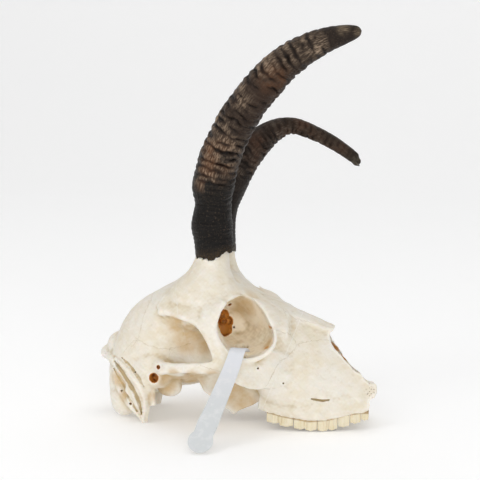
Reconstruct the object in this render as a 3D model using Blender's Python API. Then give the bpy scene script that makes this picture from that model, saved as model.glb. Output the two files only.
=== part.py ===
"""Ram's skull with two ribbed horns and a plain specimen tag, still and life size.

The tables are in millimetres: x runs forward along the nose, y to the animal's
left and z up from the surface that the cheek teeth and the two paracondylar
processes rest on. The finished objects are in metres.
"""
import math

import bmesh
import bpy
import numpy as np
from mathutils import Vector

MM = 0.001

# Driving dimensions, mm
GAP = 0.3                    # between neighbouring nodes
CRANIUM_HALF = 33.0          # half width of the braincase
MUZZLE_HALF = 38.0           # half width across the facial tubers
RIM_HALF = 52.0              # half width across the lower orbital rims
MIDLINE_TOP = 112.0          # forehead between the horn pedicles, above the floor
TOOTH_ROW_REAR = 24.4        # rear of the last molar; the row runs forward from here
TOOTH_GAP = 0.5              # between two teeth of a row
TOOTH_LINE = 12.0            # height of the alveolar line
PEDICLE_SPREAD = 17.5        # half distance between the horn pedicles
RIB_PITCH = 4.8              # between two rings of a horn
RIB_HEIGHT = 0.35            # how far a ring stands out
RIB_WAVER = 0.25             # how far a ring wanders in and out as it goes round
HORN_SIDES = 12
HORN_FLATNESS = 0.94         # a horn's thickness across, for each unit fore and aft
FOOT_DISH = 4.0              # how deep the horn's foot is dished over its pedicle
TAG_THICK = 1.0
TAG_PADDLE = 8.3             # radius of the tag's round end
FLOOR = 0.0

# How finely the bone is skinned, mm, how many times each skin is softened, and the faces it keeps
BROAD_VOXEL, BROAD_ROUNDS = 2.4, 7
FINE_VOXEL, FINE_ROUNDS = 1.7, 3
BONE_TRIANGLES = 8000


# Plain helpers

def clear_scene():
    for thing in list(bpy.data.objects):
        bpy.data.objects.remove(thing, do_unlink=True)


def new_object(name, mesh):
    thing = bpy.data.objects.new(name, mesh)
    bpy.context.scene.collection.objects.link(thing)
    return thing


def closed_mesh(name, points, faces):
    """mesh of points in millimetres, with its faces turned outwards"""
    work = bmesh.new()
    verts = [work.verts.new([c * MM for c in p]) for p in points]
    for face in faces:
        work.faces.new([verts[i] for i in face])
    bmesh.ops.recalc_face_normals(work, faces=work.faces)
    mesh = bpy.data.meshes.new(name)
    work.to_mesh(mesh)
    work.free()
    return new_object(name, mesh)


def through(rows, count, closed=False):
    """count rows read evenly from a smooth curve through the given rows"""
    rows = np.asarray(rows, float)
    n = len(rows)
    spans = n if closed else n - 1
    out = []
    for t in np.linspace(0, spans, count, endpoint=not closed):
        i = min(int(t), spans - 1)
        u = t - i
        picks = [(i + k) % n if closed else min(max(i + k, 0), n - 1) for k in (-1, 0, 1, 2)]
        a, b, c, d = (rows[k] for k in picks)
        out.append(0.5 * (2 * b + (c - a) * u + (2 * a - 5 * b + 4 * c - d) * u ** 2
                          + (3 * b - a - 3 * c + d) * u ** 3))
    return np.array(out)


def skin(name, rings):
    """closed skin over a run of rings, with a fan on each end"""
    count, sides = len(rings), len(rings[0])
    points = [tuple(p) for ring in rings for p in ring]
    faces = []
    for r in range(count - 1):
        for s in range(sides):
            t = (s + 1) % sides
            a, b = r * sides + s, r * sides + t
            faces.append((a, b, b + sides, a + sides))
    for first, ring in ((0, rings[0]), ((count - 1) * sides, rings[-1])):
        points.append(tuple(np.mean(ring, axis=0)))
        hub = len(points) - 1
        for s in range(sides):
            faces.append((first + s, first + (s + 1) % sides, hub))
    return closed_mesh(name, points, faces)


def oval(sides, square_up=2.0, square_down=2.0):
    """unit outline; a higher square makes its upper or lower half boxier"""
    out = []
    for k in range(sides):
        a = 2 * math.pi * (k + 0.5) / sides
        n = square_up if math.sin(a) > 0 else square_down
        c, s = math.cos(a), math.sin(a)
        out.append((math.copysign(abs(c) ** (2 / n), c), math.copysign(abs(s) ** (2 / n), s)))
    return out


def hull_along(name, stations, count=28, sides=32):
    """body along x; a station is x, top, widest, bottom, half width, square up, square down"""
    rings = []
    for x, top, wide, bottom, half, up, down in through(stations, count):
        ring = []
        for c, s in oval(sides, up, down):
            ring.append((x, c * half, wide + s * ((top - wide) if s > 0 else (wide - bottom))))
        rings.append(ring)
    return skin(name, rings)


def bar(name, rows, across=(1, 0, 0), count=14, sides=10, square=2.2):
    """flattened rod; a row is x, y, z, half width towards across, half thickness"""
    path = through(rows, count)
    outline = oval(sides, square, square)
    rings = []
    for k, row in enumerate(path):
        run = path[min(k + 1, count - 1)][:3] - path[max(k - 1, 0)][:3]
        run = run / np.linalg.norm(run)
        side = np.asarray(across, float)
        side = side - run * side.dot(run)
        side = side / np.linalg.norm(side)
        face = np.cross(run, side)
        rings.append([row[:3] + side * row[3] * c + face * row[4] * s for c, s in outline])
    return skin(name, rings)


def rod(name, rows, count=12, sides=10, closed=False):
    """round rod; a row is x, y, z, radius"""
    if not closed:
        across = (0.31, 0.52, 0.79)
        return bar(name, [(*row, row[3]) for row in rows], across, count, sides, 2.0)
    path = through(rows, count, closed=True)
    middle = path[:, :3].mean(axis=0)
    points, faces = [], []
    for k, row in enumerate(path):
        run = path[(k + 1) % count][:3] - path[k - 1][:3]
        out = row[:3] - middle
        out = out - run * out.dot(run) / run.dot(run)
        out = out / np.linalg.norm(out)
        up = np.cross(run, out) / np.linalg.norm(run)
        for c, s in oval(sides):
            points.append(row[:3] + out * row[3] * c + up * row[3] * s)
        for s in range(sides):
            a, b = k * sides + s, k * sides + (s + 1) % sides
            m = ((k + 1) % count) * sides
            faces.append((a, b, m + (s + 1) % sides, m + s))
    return closed_mesh(name, points, faces)


def blob(name, centre, radii):
    work = bmesh.new()
    bmesh.ops.create_icosphere(work, subdivisions=3, radius=1.0)
    for vert in work.verts:
        vert.co = Vector((c + r * p) * MM for c, r, p in zip(centre, radii, vert.co))
    mesh = bpy.data.meshes.new(name)
    work.to_mesh(mesh)
    work.free()
    return new_object(name, mesh)


def plate(name, outline, y_inner, y_outer):
    """flat plate with an outline in x and z"""
    n = len(outline)
    points = [(x, y, z) for y in (y_inner, y_outer) for x, z in outline]
    faces = [tuple(range(n)), tuple(range(2 * n - 1, n - 1, -1))]
    for k in range(n):
        m = (k + 1) % n
        faces.append((k, m, n + m, n + k))
    return closed_mesh(name, points, faces)


def twin(thing):
    """the same piece on the other side of the skull"""
    work = bmesh.new()
    work.from_mesh(thing.data)
    for vert in work.verts:
        vert.co.y = -vert.co.y
    bmesh.ops.reverse_faces(work, faces=work.faces)
    mesh = bpy.data.meshes.new(thing.name)
    work.to_mesh(mesh)
    work.free()
    return new_object(thing.name, mesh)


def settled(thing):
    """bake the modifiers into the mesh"""
    graph = bpy.context.evaluated_depsgraph_get()
    graph.update()
    mesh = bpy.data.meshes.new_from_object(thing.evaluated_get(graph))
    thing.modifiers.clear()
    thing.data = mesh
    return thing


def fused(name, pieces, voxel, rounds):
    """one closed skin over overlapping pieces, softened a little"""
    work = bmesh.new()
    for piece in pieces:
        work.from_mesh(piece.data)
        bpy.data.objects.remove(piece, do_unlink=True)
    mesh = bpy.data.meshes.new(name)
    work.to_mesh(mesh)
    work.free()
    thing = new_object(name, mesh)
    remesh = thing.modifiers.new("skin", "REMESH")
    remesh.mode = "VOXEL"
    remesh.voxel_size = voxel * MM
    soften = thing.modifiers.new("soften", "SMOOTH")
    soften.factor = 0.5
    soften.iterations = rounds
    return settled(thing)


def with_pieces(thing, pieces, operation):
    """cut the pieces from a body, or join them to it, in one Boolean"""
    group = bpy.data.collections.new("pieces")
    bpy.context.scene.collection.children.link(group)
    for piece in pieces:
        group.objects.link(piece)
    step = thing.modifiers.new("pieces", "BOOLEAN")
    step.operation = operation
    step.operand_type = "COLLECTION"
    step.collection = group
    step.solver = "EXACT"
    settled(thing)
    for piece in pieces:
        bpy.data.objects.remove(piece, do_unlink=True)
    bpy.data.collections.remove(group)
    return thing


def islands(work):
    """the separate closed surfaces of a bmesh, as lists of faces"""
    seen = set()
    found = []
    for start in work.faces:
        if start.index in seen:
            continue
        seen.add(start.index)
        group, stack = [], [start]
        while stack:
            face = stack.pop()
            group.append(face)
            for edge in face.edges:
                for other in edge.link_faces:
                    if other.index not in seen:
                        seen.add(other.index)
                        stack.append(other)
        found.append(group)
    return found


def volume_of(faces):
    total = 0.0
    for face in faces:
        a = face.verts[0].co
        for k in range(1, len(face.verts) - 1):
            total += a.dot(face.verts[k].co.cross(face.verts[k + 1].co)) / 6
    return total


def loose_parts(thing):
    """one object for each closed surface of a body, largest first"""
    work = bmesh.new()
    work.from_mesh(thing.data)
    work.faces.index_update()
    found = sorted(((volume_of(group), group) for group in islands(work)), key=lambda f: -f[0])
    out = []
    for volume, group in found:
        index = {}
        points, faces = [], []
        for face in group:
            for vert in face.verts:
                if vert.index not in index:
                    index[vert.index] = len(points)
                    points.append(tuple(vert.co))
            faces.append([index[vert.index] for vert in face.verts])
        mesh = bpy.data.meshes.new(thing.name)
        mesh.from_pydata(points, [], faces)
        out.append((volume, mesh))
    work.free()
    return out


def keep_largest(thing):
    thing.data = loose_parts(thing)[0][1]
    return thing


def thinned(thing, triangles):
    """the same skin with about this many triangles"""
    thing.data.calc_loop_triangles()
    thin = thing.modifiers.new("thin", "DECIMATE")
    thin.ratio = min(1.0, triangles / len(thing.data.loop_triangles))
    return settled(thing)


# Broad masses of the bone

def braincase():
    """cranium and the narrow wall that runs on between the orbits"""
    return hull_along("braincase", [
        (-88.5, 48, 30, 8, 18, 2.0, 3.0),
        (-84, 61, 36, 9, 22.5, 2.0, 2.8),
        (-77, 74, 40, 12, 27.5, 2.0, 2.6),
        (-69, 82, 43, 16, CRANIUM_HALF - 1.5, 2.0, 2.4),
        (-60, 88, 46, 19, CRANIUM_HALF, 2.1, 2.3),
        (-50, 93.5, 50, 21, CRANIUM_HALF, 2.2, 2.2),
        (-40, 99, 54, 23, CRANIUM_HALF - 2.5, 2.2, 2.0),
        (-27, 103, 57, 24, 27, 2.2, 2.0),
        (-13, 102, 60, 24, 20, 2.4, 2.0),
        (0, 96, 60, 25, 15, 2.6, 2.0),
        (14, 86, 58, 25, 14, 2.6, 2.0),
        (30, 79, 50, 24, 16, 2.6, 2.0)])


def forehead_roof():
    """frontal bones: a shield that overhangs the temporal hollows"""
    return hull_along("roof", [
        (-54, 90, 78, 68, 24, 2.2, 2.0),
        (-46, 95.5, 77, 67, 31, 2.0, 2.0),
        (-34, 104.5, 75, 64, 39, 1.7, 2.0),
        (-22, MIDLINE_TOP - 3, 75, 65, 46, 1.55, 2.2),
        (-10, 107.5, 77, 66, 48, 1.6, 2.4),
        (0, 101.8, 79.5, 70, 43, 1.75, 2.6),
        (9, 94.8, 79.5, 72, 37, 1.9, 2.6),
        (18, 88.4, 76, 68, 36, 2.0, 2.4),
        (28, 84.6, 71, 58, 35, 2.1, 2.2),
        (38, 81.5, 65, 52, 31, 2.2, 2.0)])


def muzzle():
    """maxillae and lacrimal bones, widest at the facial tubers"""
    return hull_along("muzzle", [
        (12, 84, 50, 34, 45, 2.4, 2.2),
        (20, 84.5, 47, 18, MUZZLE_HALF + 5, 2.1, 2.5),
        (28, 84, 43, 13, MUZZLE_HALF + 3, 1.9, 2.9),
        (37, 82, 38, 12, MUZZLE_HALF, 1.65, 3.4),
        (48, 77.2, 34, 12, MUZZLE_HALF - 2, 1.55, 4.0),
        (60, 72.2, 31, 12, 32, 1.5, 4.0),
        (72, 67, 29, 12.5, 27.5, 1.45, 4.0),
        (84, 60, 27, 13, 23, 1.5, 4.0),
        (94, 52, 25, 15, 19.5, 1.6, 4.0),
        (101, 44, 25, 17, 17, 1.8, 3.0)])


def pedicle():
    """bony cone that carries the left horn"""
    stations = [(86, -20.5, 19, 29, 24), (95, -20.5, 19, 24.5, 20), (103, -19.4, 18.5, 17.6, 17),
                (110, -18, 18, 13.4, 14), (116, -17, PEDICLE_SPREAD, 11.8, 12.4),
                (122, -16.4, PEDICLE_SPREAD, 10.8, 11.2), (128, -16.5, PEDICLE_SPREAD, 9.5, 9.5)]
    rings = []
    for z, x, y, long, wide in through(stations, 14):
        rings.append([(x + long * c, y + wide * s, z) for c, s in oval(20)])
    return skin("pedicle", rings)


def orbit_block():
    """bone that the left orbit is hollowed out of"""
    return blob("orbit block", (9, 25, 70), (25, 21, 20))


def broad_masses():
    pieces = [braincase(), forehead_roof(), muzzle()]
    for make in (pedicle, orbit_block):
        piece = make()
        pieces += [piece, twin(piece)]
    return fused("bone", pieces, BROAD_VOXEL, BROAD_ROUNDS)


# The orbit

ORBIT_RIM = [(8, 28.4, 90.6), (17.2, 30, 84.6), (24.2, 36, 77.2), (29, 41, 68.3), (26, 48, 60),
             (14, RIM_HALF, 53.2), (4, RIM_HALF + 0.5, 55.5), (-4, 51, 62), (-9, 47, 74), (-4.8, 38, 87.4)]
ORBIT_DEPTHS = [(-30, 1.2), (-12, 1.06), (0, 1.0), (8, 1.03), (17, 0.93), (26, 0.72), (33, 0.42)]


def orbit_cutter():
    """egg-shaped hollow behind the rim, left side"""
    rim = through(ORBIT_RIM, 28, closed=True)
    middle = rim.mean(axis=0)
    inwards = np.array([-0.30, -1.0, -0.06])
    rings = []
    for depth, scale in through(ORBIT_DEPTHS, 13):
        ring = middle + (rim - middle) * scale
        flatness = min(1.0, max(0.0, abs(depth) / 26))
        ring[:, 1] += (middle[1] - ring[:, 1]) * flatness
        rings.append(ring + inwards * depth)
    return skin("orbit hollow", rings)


def orbit_lip():
    """raised rim round the left orbit, thick along its lower edge"""
    rim = np.array(ORBIT_RIM)
    middle = rim.mean(axis=0)
    rows = []
    for place in rim:
        low = min(1.0, max(0.0, (middle[2] + 8 - place[2]) / 28))
        x, y, z = middle + (place - middle) * (1.0 + 0.08 * low)
        rows.append((x, y - 1.0, z, 1.0 + 2.1 * low))
    return rod("orbit lip", rows, 40, 8, closed=True)


# Finer parts of the left side; the right side is their mirror image

def cheek_arch():
    return bar("cheek arch", [
        (2, 52, 49, 4.6, 3.0), (-8, 54, 47.5, 4.4, 2.6), (-18, 54, 46.2, 3.6, 2.5),
        (-28, 52.5, 45.6, 3.3, 2.4), (-37, 48.5, 44.5, 3.4, 2.6), (-45, 42, 42.5, 4.6, 3.4),
        (-52, 32, 41, 6.0, 4.5)], across=(0, 0, 1), count=18)


def jugal():
    """cheekbone below the orbit, down to the facial tuber"""
    return bar("jugal", [
        (-8, 53.5, 49, 4.5, 2.4), (2, 52.5, 48, 6.0, 2.8), (10, 49.5, 43.5, 9.5, 2.8),
        (18, 46, 40.5, 9.5, 2.6), (26, 42.5, 39.5, 8.0, 2.0), (34, 39, 38.5, 5.5, 1.4),
        (41, 36.4, 37.5, 3.5, 0.9)],
        across=(0, 0.35, 1), count=14)


def orbit_post():
    """bar that closes the orbit behind"""
    return bar("orbit post", [
        (-8, 38, 90, 6.0, 2.6), (-13.4, 44.6, 81.5, 6.8, 2.5), (-14.2, 48.8, 71, 5.6, 2.3),
        (-11.2, 50.7, 64.5, 4.7, 2.3), (-8.4, 51.9, 58.5, 4.7, 2.4), (-5, 52.8, 52.5, 5.4, 2.7),
        (0, 52.5, 48, 5.2, 3.0)],
        across=(1, 0, 0.2), count=14)


def temporal_edge():
    """overhanging edge of the forehead above the temporal hollow"""
    return bar("temporal edge", [
        (-52, 26, 82.4, 2.6, 2.2), (-46, 31.5, 80, 3.2, 2.6), (-38, 36.6, 78.4, 3.0, 2.0),
        (-28, 42, 76.6, 3.0, 2.0), (-21.4, 45.6, 73.6, 3.0, 2.0), (-17, 48, 68.6, 3.0, 2.0)],
        across=(0, 1, 0), count=12, sides=8)


def side_knob():
    """stub of bone where a side horn never grew"""
    return rod("side knob", [(-44, 27, 80, 4.2), (-48, 30.5, 79.6, 3.6), (-51.5, 33, 78.6, 2.4)], 6, 8)


def nape_crest():
    """ridge from the nape knob down to the paracondylar process"""
    return bar("nape crest", [
        (-91, 0, 43.4, 5.6, 3.6), (-89, 9, 43.6, 4.4, 3.2), (-86, 16.5, 42.2, 3.5, 2.8),
        (-81.6, 22.5, 39.2, 3.0, 2.6), (-76.1, 27.5, 35, 3.0, 2.6), (-70.6, 31.6, 28.4, 3.2, 2.6),
        (-66.3, 33, 19.4, 3.4, 2.8), (-62.8, 30.5, 9, 2.8, 2.4)],
        across=(1, 0, 0.6), count=16, sides=8)


def occiput_fold():
    """second, lower ridge between the nape crest and the condyle"""
    return bar("occiput fold", [
        (-86, 14, 38, 2.6, 2.2), (-83, 19, 29.5, 2.6, 2.2), (-78.2, 23.6, 21.3, 2.6, 2.2),
        (-72, 26.8, 14.6, 2.7, 2.2), (-66, 28.4, 8.4, 2.5, 2.2)], across=(1, 0, 0.6), count=10, sides=8)


def nape_knob():
    return blob("nape knob", (-88.0, 0, 43.2), (10.5, 12.0, 6.0))


def ear_region():
    """mastoid, the bulge over the ear and the bony tube of the ear"""
    return [blob("mastoid", (-62, 29, 30), (10, 8, 14)),
            blob("squamosal bulge", (-55, 29.5, 37.5), (14, 8, 13)),
            rod("ear tube", [(-48, 20, 30, 7), (-52, 30, 32, 7), (-54.5, 37.5, 33.2, 6)], 8, 12),
            rod("small peg", [(-56, 31, 26, 3.2), (-55.5, 31, 19, 2.6), (-54, 30, 13, 1.8)], 6, 8),
            blob("ear bulla", (-45, 19, 25), (9, 7, 8))]


def joint_bar():
    """cross bar that the jaw hinges under"""
    return bar("joint bar", [(-40, 47, 41, 5, 2.6), (-38, 40, 35.5, 7, 3.2), (-38, 30, 34, 8, 4),
                             (-38, 20, 34, 8, 5)], across=(1, 0, 0), count=8)


def paracondylar():
    return bar("paracondylar process", [
        (-65, 33, 26, 9, 4.5), (-64.5, 32, 18, 8.6, 3.6), (-62.5, 30, 10, 6.4, 2.8),
        (-61, 28, 3, 3.4, 2.2), (-60.5, 27, -2, 2.2, 1.7)], across=(1, 0, 0), count=12)


def condyle():
    return [blob("condyle", (-77, 15.5, 14), (10.5, 9.5, 12.5)),
            blob("condyle heel", (-82, 12, 22), (7, 8, 12)),
            blob("condyle web", (-69, 25, 17), (7, 5.5, 9))]


def skull_base():
    """the base from the foramen magnum to the choanae, on the midline"""
    return bar("skull base", [
        (-84, 0, 14, 12, 5), (-66, 0, 18, 10, 5), (-50, 0, 23, 9, 4.5), (-34, 0, 26.5, 8, 4.2),
        (-18, 0, 29, 7, 4), (4, 0, 33, 7, 5)], across=(0, 1, 0), count=14)


def pterygoid():
    """thin upright plate beside the choanae, ending below in its hook"""
    outline = [(-26, 30), (-20.8, 20.6), (-15, 16.5), (-8.6, 11.9), (-3, 8.6), (0.5, 5.0), (3.5, 8.4),
               (8, 10.4), (14, 13.4), (21, 18), (30, 20), (30, 44), (-10, 44), (-24, 38)]
    return plate("pterygoid plate", outline, 11.5, 15.5)


def tooth_bed():
    """alveolar process, which follows the bow of the tooth row"""
    return bar("tooth bed", [
        (19, 24.5, 21, 6.5, 5.0), (29, 25.5, 18.5, 7.6, 6.0), (46, 25.8, 16, 7.6, 6.2),
        (62, 24.6, 16.2, 7.4, 5.8), (78, 20.8, 18.4, 7.2, 4.8), (90, 17.2, 19.6, 6.8, 4.0),
        (98, 15.6, 23, 5.6, 3.4)], across=(0, 0, 1), count=14)


def palate():
    return bar("palate", [(22, 0, 21, 20, 3), (50, 0, 21, 20, 2.6), (78, 0, 22, 16, 2.4),
                          (92, 0, 22.5, 12, 2.2)], across=(0, 1, 0), count=8, square=3)


def nasal():
    """left nasal bone, a narrow arched strip that ends in a point"""
    return bar("nasal bone", [
        (22, 4.0, 84.2, 2.0, 1.0), (34, 6.2, 79.6, 6.4, 1.8), (44, 6.6, 75.6, 6.8, 1.8),
        (54, 6.2, 71.8, 6.2, 1.8), (62, 5.4, 68.4, 5.0, 1.8), (69, 4.2, 65.8, 2.6, 1.4)],
        across=(0, 1, -0.25), count=12, sides=8)


def finer_parts():
    paired = [cheek_arch(), jugal(), orbit_post(), orbit_lip(), temporal_edge(), side_knob(),
              nape_crest(), occiput_fold(), joint_bar(), paracondylar(), pterygoid(), tooth_bed(), nasal()]
    paired += ear_region() + condyle()
    return paired + [twin(piece) for piece in paired] + [nape_knob(), skull_base(), palate()]


# Hollows

def nasal_cavity():
    return hull_along("nasal cavity", [
        (30, 62, 44, 27, 10, 2.0, 2.6), (42, 66, 40, 25, 16, 1.8, 3), (54, 66, 38, 24.5, 20, 1.6, 3.4),
        (66, 63, 36, 24.5, 19, 1.5, 3.4), (80, 58, 33, 25, 16.5, 1.5, 3.2), (94, 50, 31, 25.5, 13.5, 1.6, 3),
        (110, 44, 30, 26, 12, 1.8, 3)], 16, 20)


# Broken edge of the nose as x and z, on the right wall and on the left wall, from the nasal bones down
NOSE_EDGE_RIGHT = [
    (68.4, 80), (68.4, 69.5), (65.4, 65.6), (66, 61.2), (67.2, 57.5), (70, 54.4), (72.3, 52.4), (75.7, 48.9),
    (79.6, 44.9), (83.9, 40.5), (87.1, 39.3), (90.5, 34.9), (93.2, 33), (97.6, 32), (99.6, 29.7), (99.7, 27),
    (97.4, 23.5), (94.8, 21.6), (94.1, 15.6), (94.8, 8), (120, 8), (120, 80)]
NOSE_EDGE_LEFT = [
    (68.4, 78), (68.4, 67.5), (64.2, 61.8), (65.6, 57.2), (67.4, 54), (70.2, 51), (72, 48.4), (74.4, 44.6),
    (78, 40.2), (82, 35.8), (85.6, 33.8), (89.2, 29.6), (92.4, 27.4), (96.6, 26.2), (98.6, 24.2),
    (98.6, 22.4), (96.4, 19.4), (94, 17.4), (93.4, 10.8), (94.8, 6), (120, 6), (120, 78)]
EDGE_HALF = 16               # the two edges are read this far from the midline
CUT_REACH = 32               # the cut reaches this far to each side


def nose_opening():
    """takes off all that stands in front of the broken edge of the nose, lower on the left side"""
    right, left = np.array(NOSE_EDGE_RIGHT, float), np.array(NOSE_EDGE_LEFT, float)
    middle, lean = (right + left) / 2, (right - left) / 2
    n = len(middle)
    points = []
    for y in (-CUT_REACH, CUT_REACH):
        points += [(x, y, z) for x, z in middle - lean * y / EDGE_HALF]
    faces = [tuple(range(n)), tuple(range(2 * n - 1, n - 1, -1))]
    faces += [(k, (k + 1) % n, n + (k + 1) % n, n + k) for k in range(n)]
    return closed_mesh("nose opening", points, faces)


def palate_notch():
    return rod("palate notch", [(104, 0, 10, 11), (104, 0, 40, 11)], 2, 20)


def foramen_magnum():
    return rod("foramen magnum", [(-105, 0, 15, 9.5), (-82, 0, 19, 9), (-66, 0, 25, 8),
                                  (-58, 0, 29, 4)], 8, 16)


def choanae():
    return hull_along("choanae", [(-8, 22, 16, 4, 7, 2, 2), (4, 30, 20, 4, 9.5, 2, 3),
                                  (18, 32, 22, 6, 9.5, 2, 3), (32, 34, 27, 20, 8, 2, 2)], 8, 16)


def ear_hole():
    return rod("ear hole", [(-55.5, 46, 33.6, 4.0), (-54.6, 38, 33.3, 3.6), (-53, 30, 32.4, 3.0)], 4, 10)


def orbit_passage():
    """way from the orbit back into the temporal hollow, behind the orbit post"""
    return blob("orbit passage", (-14, 33, 64), (13, 9, 12))


def temporal_hollow():
    return blob("temporal hollow", (-28, 43, 60), (17, 12, 13.5))


def floor_box():
    return plate("below the floor", [(-150, -60), (150, -60), (150, FLOOR), (-150, FLOOR)], -120, 120)


# Teeth

TEETH = [
    # each tooth from the rear: columns of length, outer half width, inner half width, cusp height
    [(9.1, 29.6, 20.0, 4.6), (9.5, 30.8, 19.6, 2.4)],
    [(8.0, 31.0, 18.8, 0.8), (7.7, 30.8, 18.6, 0.0)],
    [(6.8, 30.2, 18.2, 0.0), (6.6, 28.6, 17.4, 0.0)],
    [(7.8, 26.6, 15.8, 1.8)], [(7.5, 23.6, 14.4, 4.4)], [(5.1, 20.8, 13.4, 7.4)]]


def tooth_column(x_rear, x_front, outer, inner, cusp):
    """one column of a cheek tooth, left side, its root inside the bone"""
    middle = ((x_rear + x_front) / 2, (outer + inner) / 2)
    half = ((x_front - x_rear) / 2, (outer - inner) / 2)
    rings = []
    for z, length, width in ((TOOTH_LINE + 6, 0.9, 0.7), (TOOTH_LINE, 1.14, 0.94),
                             (cusp + 1.6, 1.16, 1.0), (cusp, 0.8, 0.72)):
        shift = 0.0 if z > cusp else half[1] * 0.24
        rings.append([(middle[0] + half[0] * length * c, middle[1] + shift + half[1] * width * s, z)
                      for c, s in oval(8, 3.4, 3.4)])
    return skin("tooth", rings)


def teeth():
    columns = []
    x = TOOTH_ROW_REAR
    for tooth in TEETH:
        for length, outer, inner, cusp in tooth:
            columns.append(tooth_column(x, x + length, outer, inner, cusp))
            x += length
        x += TOOTH_GAP
    return columns + [twin(column) for column in columns]


# Horns

RIGHT_HORN = [(-15.2, -17, 121, 13.6), (-16.6, -17.2, 130, 13.6), (-17.6, -18, 139, 14.3),
              (-17, -19, 153, 12.5), (-17, -21, 166, 14.3), (-13, -24, 184, 13.9), (-7, -28, 199, 13.3),
              (0, -32, 212, 12.9), (7.5, -36, 223, 12.5), (17, -41, 235, 12.1), (29, -45, 247.5, 11.3),
              (43, -49, 257.5, 9.9), (56, -52, 264, 8.3), (68, -54, 268, 6.5), (76, -55.5, 270, 4.5),
              (80.5, -56, 271, 2.2)]
LEFT_HORN = [(-17, 17, 119.5, 12.6), (-17.8, 18, 133, 12.4), (-16.4, 20, 148, 12.2), (-10.4, 23, 164, 12.0),
             (-3.4, 26, 179, 11.8), (4, 29, 189.5, 11.0), (12.5, 32, 198, 9.4), (21.5, 34, 204, 7.5),
             (29, 36, 206.2, 6.2), (37, 38, 205.6, 5.6), (50, 40, 200.6, 5.1), (60, 42, 195.6, 4.9),
             (69, 43.5, 190, 4.5), (76, 44.5, 185, 4.0), (79.6, 45, 180.6, 2.2)]
RIB_FADE = 0.72              # share of the length after which the rings fade out


def horn(name, rows, side, grow=0.0):
    """ringed horn; grow makes it thicker all round, for the seat cut under it"""
    dense = through(rows, 400)
    steps = np.linalg.norm(np.diff(dense[:, :3], axis=0), axis=1)
    along = np.concatenate([[0], np.cumsum(steps)])
    length = along[-1]
    places = np.arange(0.0, length - 3.0, RIB_PITCH / 2)
    places = np.append(places, length)
    rings = []
    for k, place in enumerate(places):
        x, y, z, radius = (np.interp(place, along, dense[:, c]) for c in range(4))
        ahead = [np.interp(place + 2, along, dense[:, c]) for c in range(3)]
        behind = [np.interp(place - 2, along, dense[:, c]) for c in range(3)]
        run = np.subtract(ahead, behind)
        run = run / np.linalg.norm(run)
        out = np.cross(run, (0, 1, 0))
        out = out / np.linalg.norm(out)
        wide = np.cross(run, out)
        fade = min(1.0, max(0.0, (1 - place / length) / (1 - RIB_FADE)))
        rise = RIB_HEIGHT * fade * (1 if k % 2 else -1)
        ring = []
        for s in range(HORN_SIDES):
            a = 2 * math.pi * s / HORN_SIDES
            r = radius + rise + grow + RIB_WAVER * fade * math.sin(3 * a + 1.7 * k)
            point = np.array([x, y, z]) + r * (out * math.cos(a) + HORN_FLATNESS * wide * math.sin(a))
            if k == 0:
                point[2] += rim_drop(a, side) - grow
            ring.append(point)
        rings.append(ring)
    return horn_skin(name, rings, grow)


def rim_drop(angle, side):
    """how far the torn lower rim hangs below the first ring"""
    return -2.5 - 1.6 * math.sin(2 * angle + side) - 0.9 * math.sin(5 * angle)


def horn_skin(name, rings, grow):
    """skin with a dished foot, which sits over the pedicle"""
    foot = np.mean(rings[0], axis=0)
    inner = [foot + (p - foot) * 0.55 + np.array([0, 0, FOOT_DISH - grow]) for p in rings[0]]
    return skin(name, [inner] + rings)


# The tag

TAG_PATH = [(8.4, 45.0, 57.4, 5.0), (7.6, 49.0, 59.6, 5.1), (6.6, 53.2, 60.6, 5.1), (5.6, 56.4, 58.8, 5.2),
            (4.6, 58.6, 55.0, 5.3), (2.2, 63.0, 47.2, 5.5), (-1.0, 68.4, 38.4, 5.8), (-5.4, 76.4, 26.6, 6.2),
            (-9.4, 84.6, 16.4, 6.9)]
TAG_END = (-12.6, 92.8, 7.6)


def specimen_tag():
    """bent strip with a round end, over the lower rim of the right orbit"""
    strip = [(x, -y, z, half) for x, y, z, half in TAG_PATH]
    end = np.array([TAG_END[0], -TAG_END[1], TAG_END[2]])
    last = np.array(strip[-1][:3])
    run = (end - last) / np.linalg.norm(end - last)
    path = list(through(strip, 22))
    for k in range(0, 11):
        a = math.radians(-38 + 126 * k / 10)
        place = end + run * TAG_PADDLE * math.sin(a)
        path.append(np.array([*place, TAG_PADDLE * math.cos(a)]))
    rings = []
    for k, row in enumerate(path):
        step = path[min(k + 1, len(path) - 1)][:3] - path[max(k - 1, 0)][:3]
        step = step / np.linalg.norm(step)
        side = np.array([1.0, 0, 0]) - step * step[0]
        side = side / np.linalg.norm(side)
        face = np.cross(step, side) * TAG_THICK / 2
        a, b = row[:3] - side * row[3], row[:3] + side * row[3]
        rings.append([a - face, b - face, b + face, a + face])
    return skin("specimen_tag", rings)


# Parting

REAR_CUT = ((-20, -5), (-47, 130))       # two points of x and z, behind the pedicles
FRONT_CUT = ((14, -5), (54, 100))        # in front of the orbits, behind the molars
ABOVE_ROOF = 130                         # the midline cut of the forehead reaches up to here


def slab(name, corner_a, corner_b):
    """thin upright cut across the skull through two points of x and z"""
    a, b = np.array(corner_a, float), np.array(corner_b, float)
    run = (b - a) / np.linalg.norm(b - a)
    half = np.array([-run[1], run[0]]) * GAP / 2
    return plate(name, [tuple(a - half), tuple(b - half), tuple(b + half), tuple(a + half)], -90, 90)


def midline_cut():
    """thin upright cut along the seam between the two frontal bones"""
    outline = [REAR_CUT[0], FRONT_CUT[0], FRONT_CUT[1], (FRONT_CUT[1][0], ABOVE_ROOF), REAR_CUT[1]]
    return plate("midline cut", outline, -GAP / 2, GAP / 2)


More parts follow.
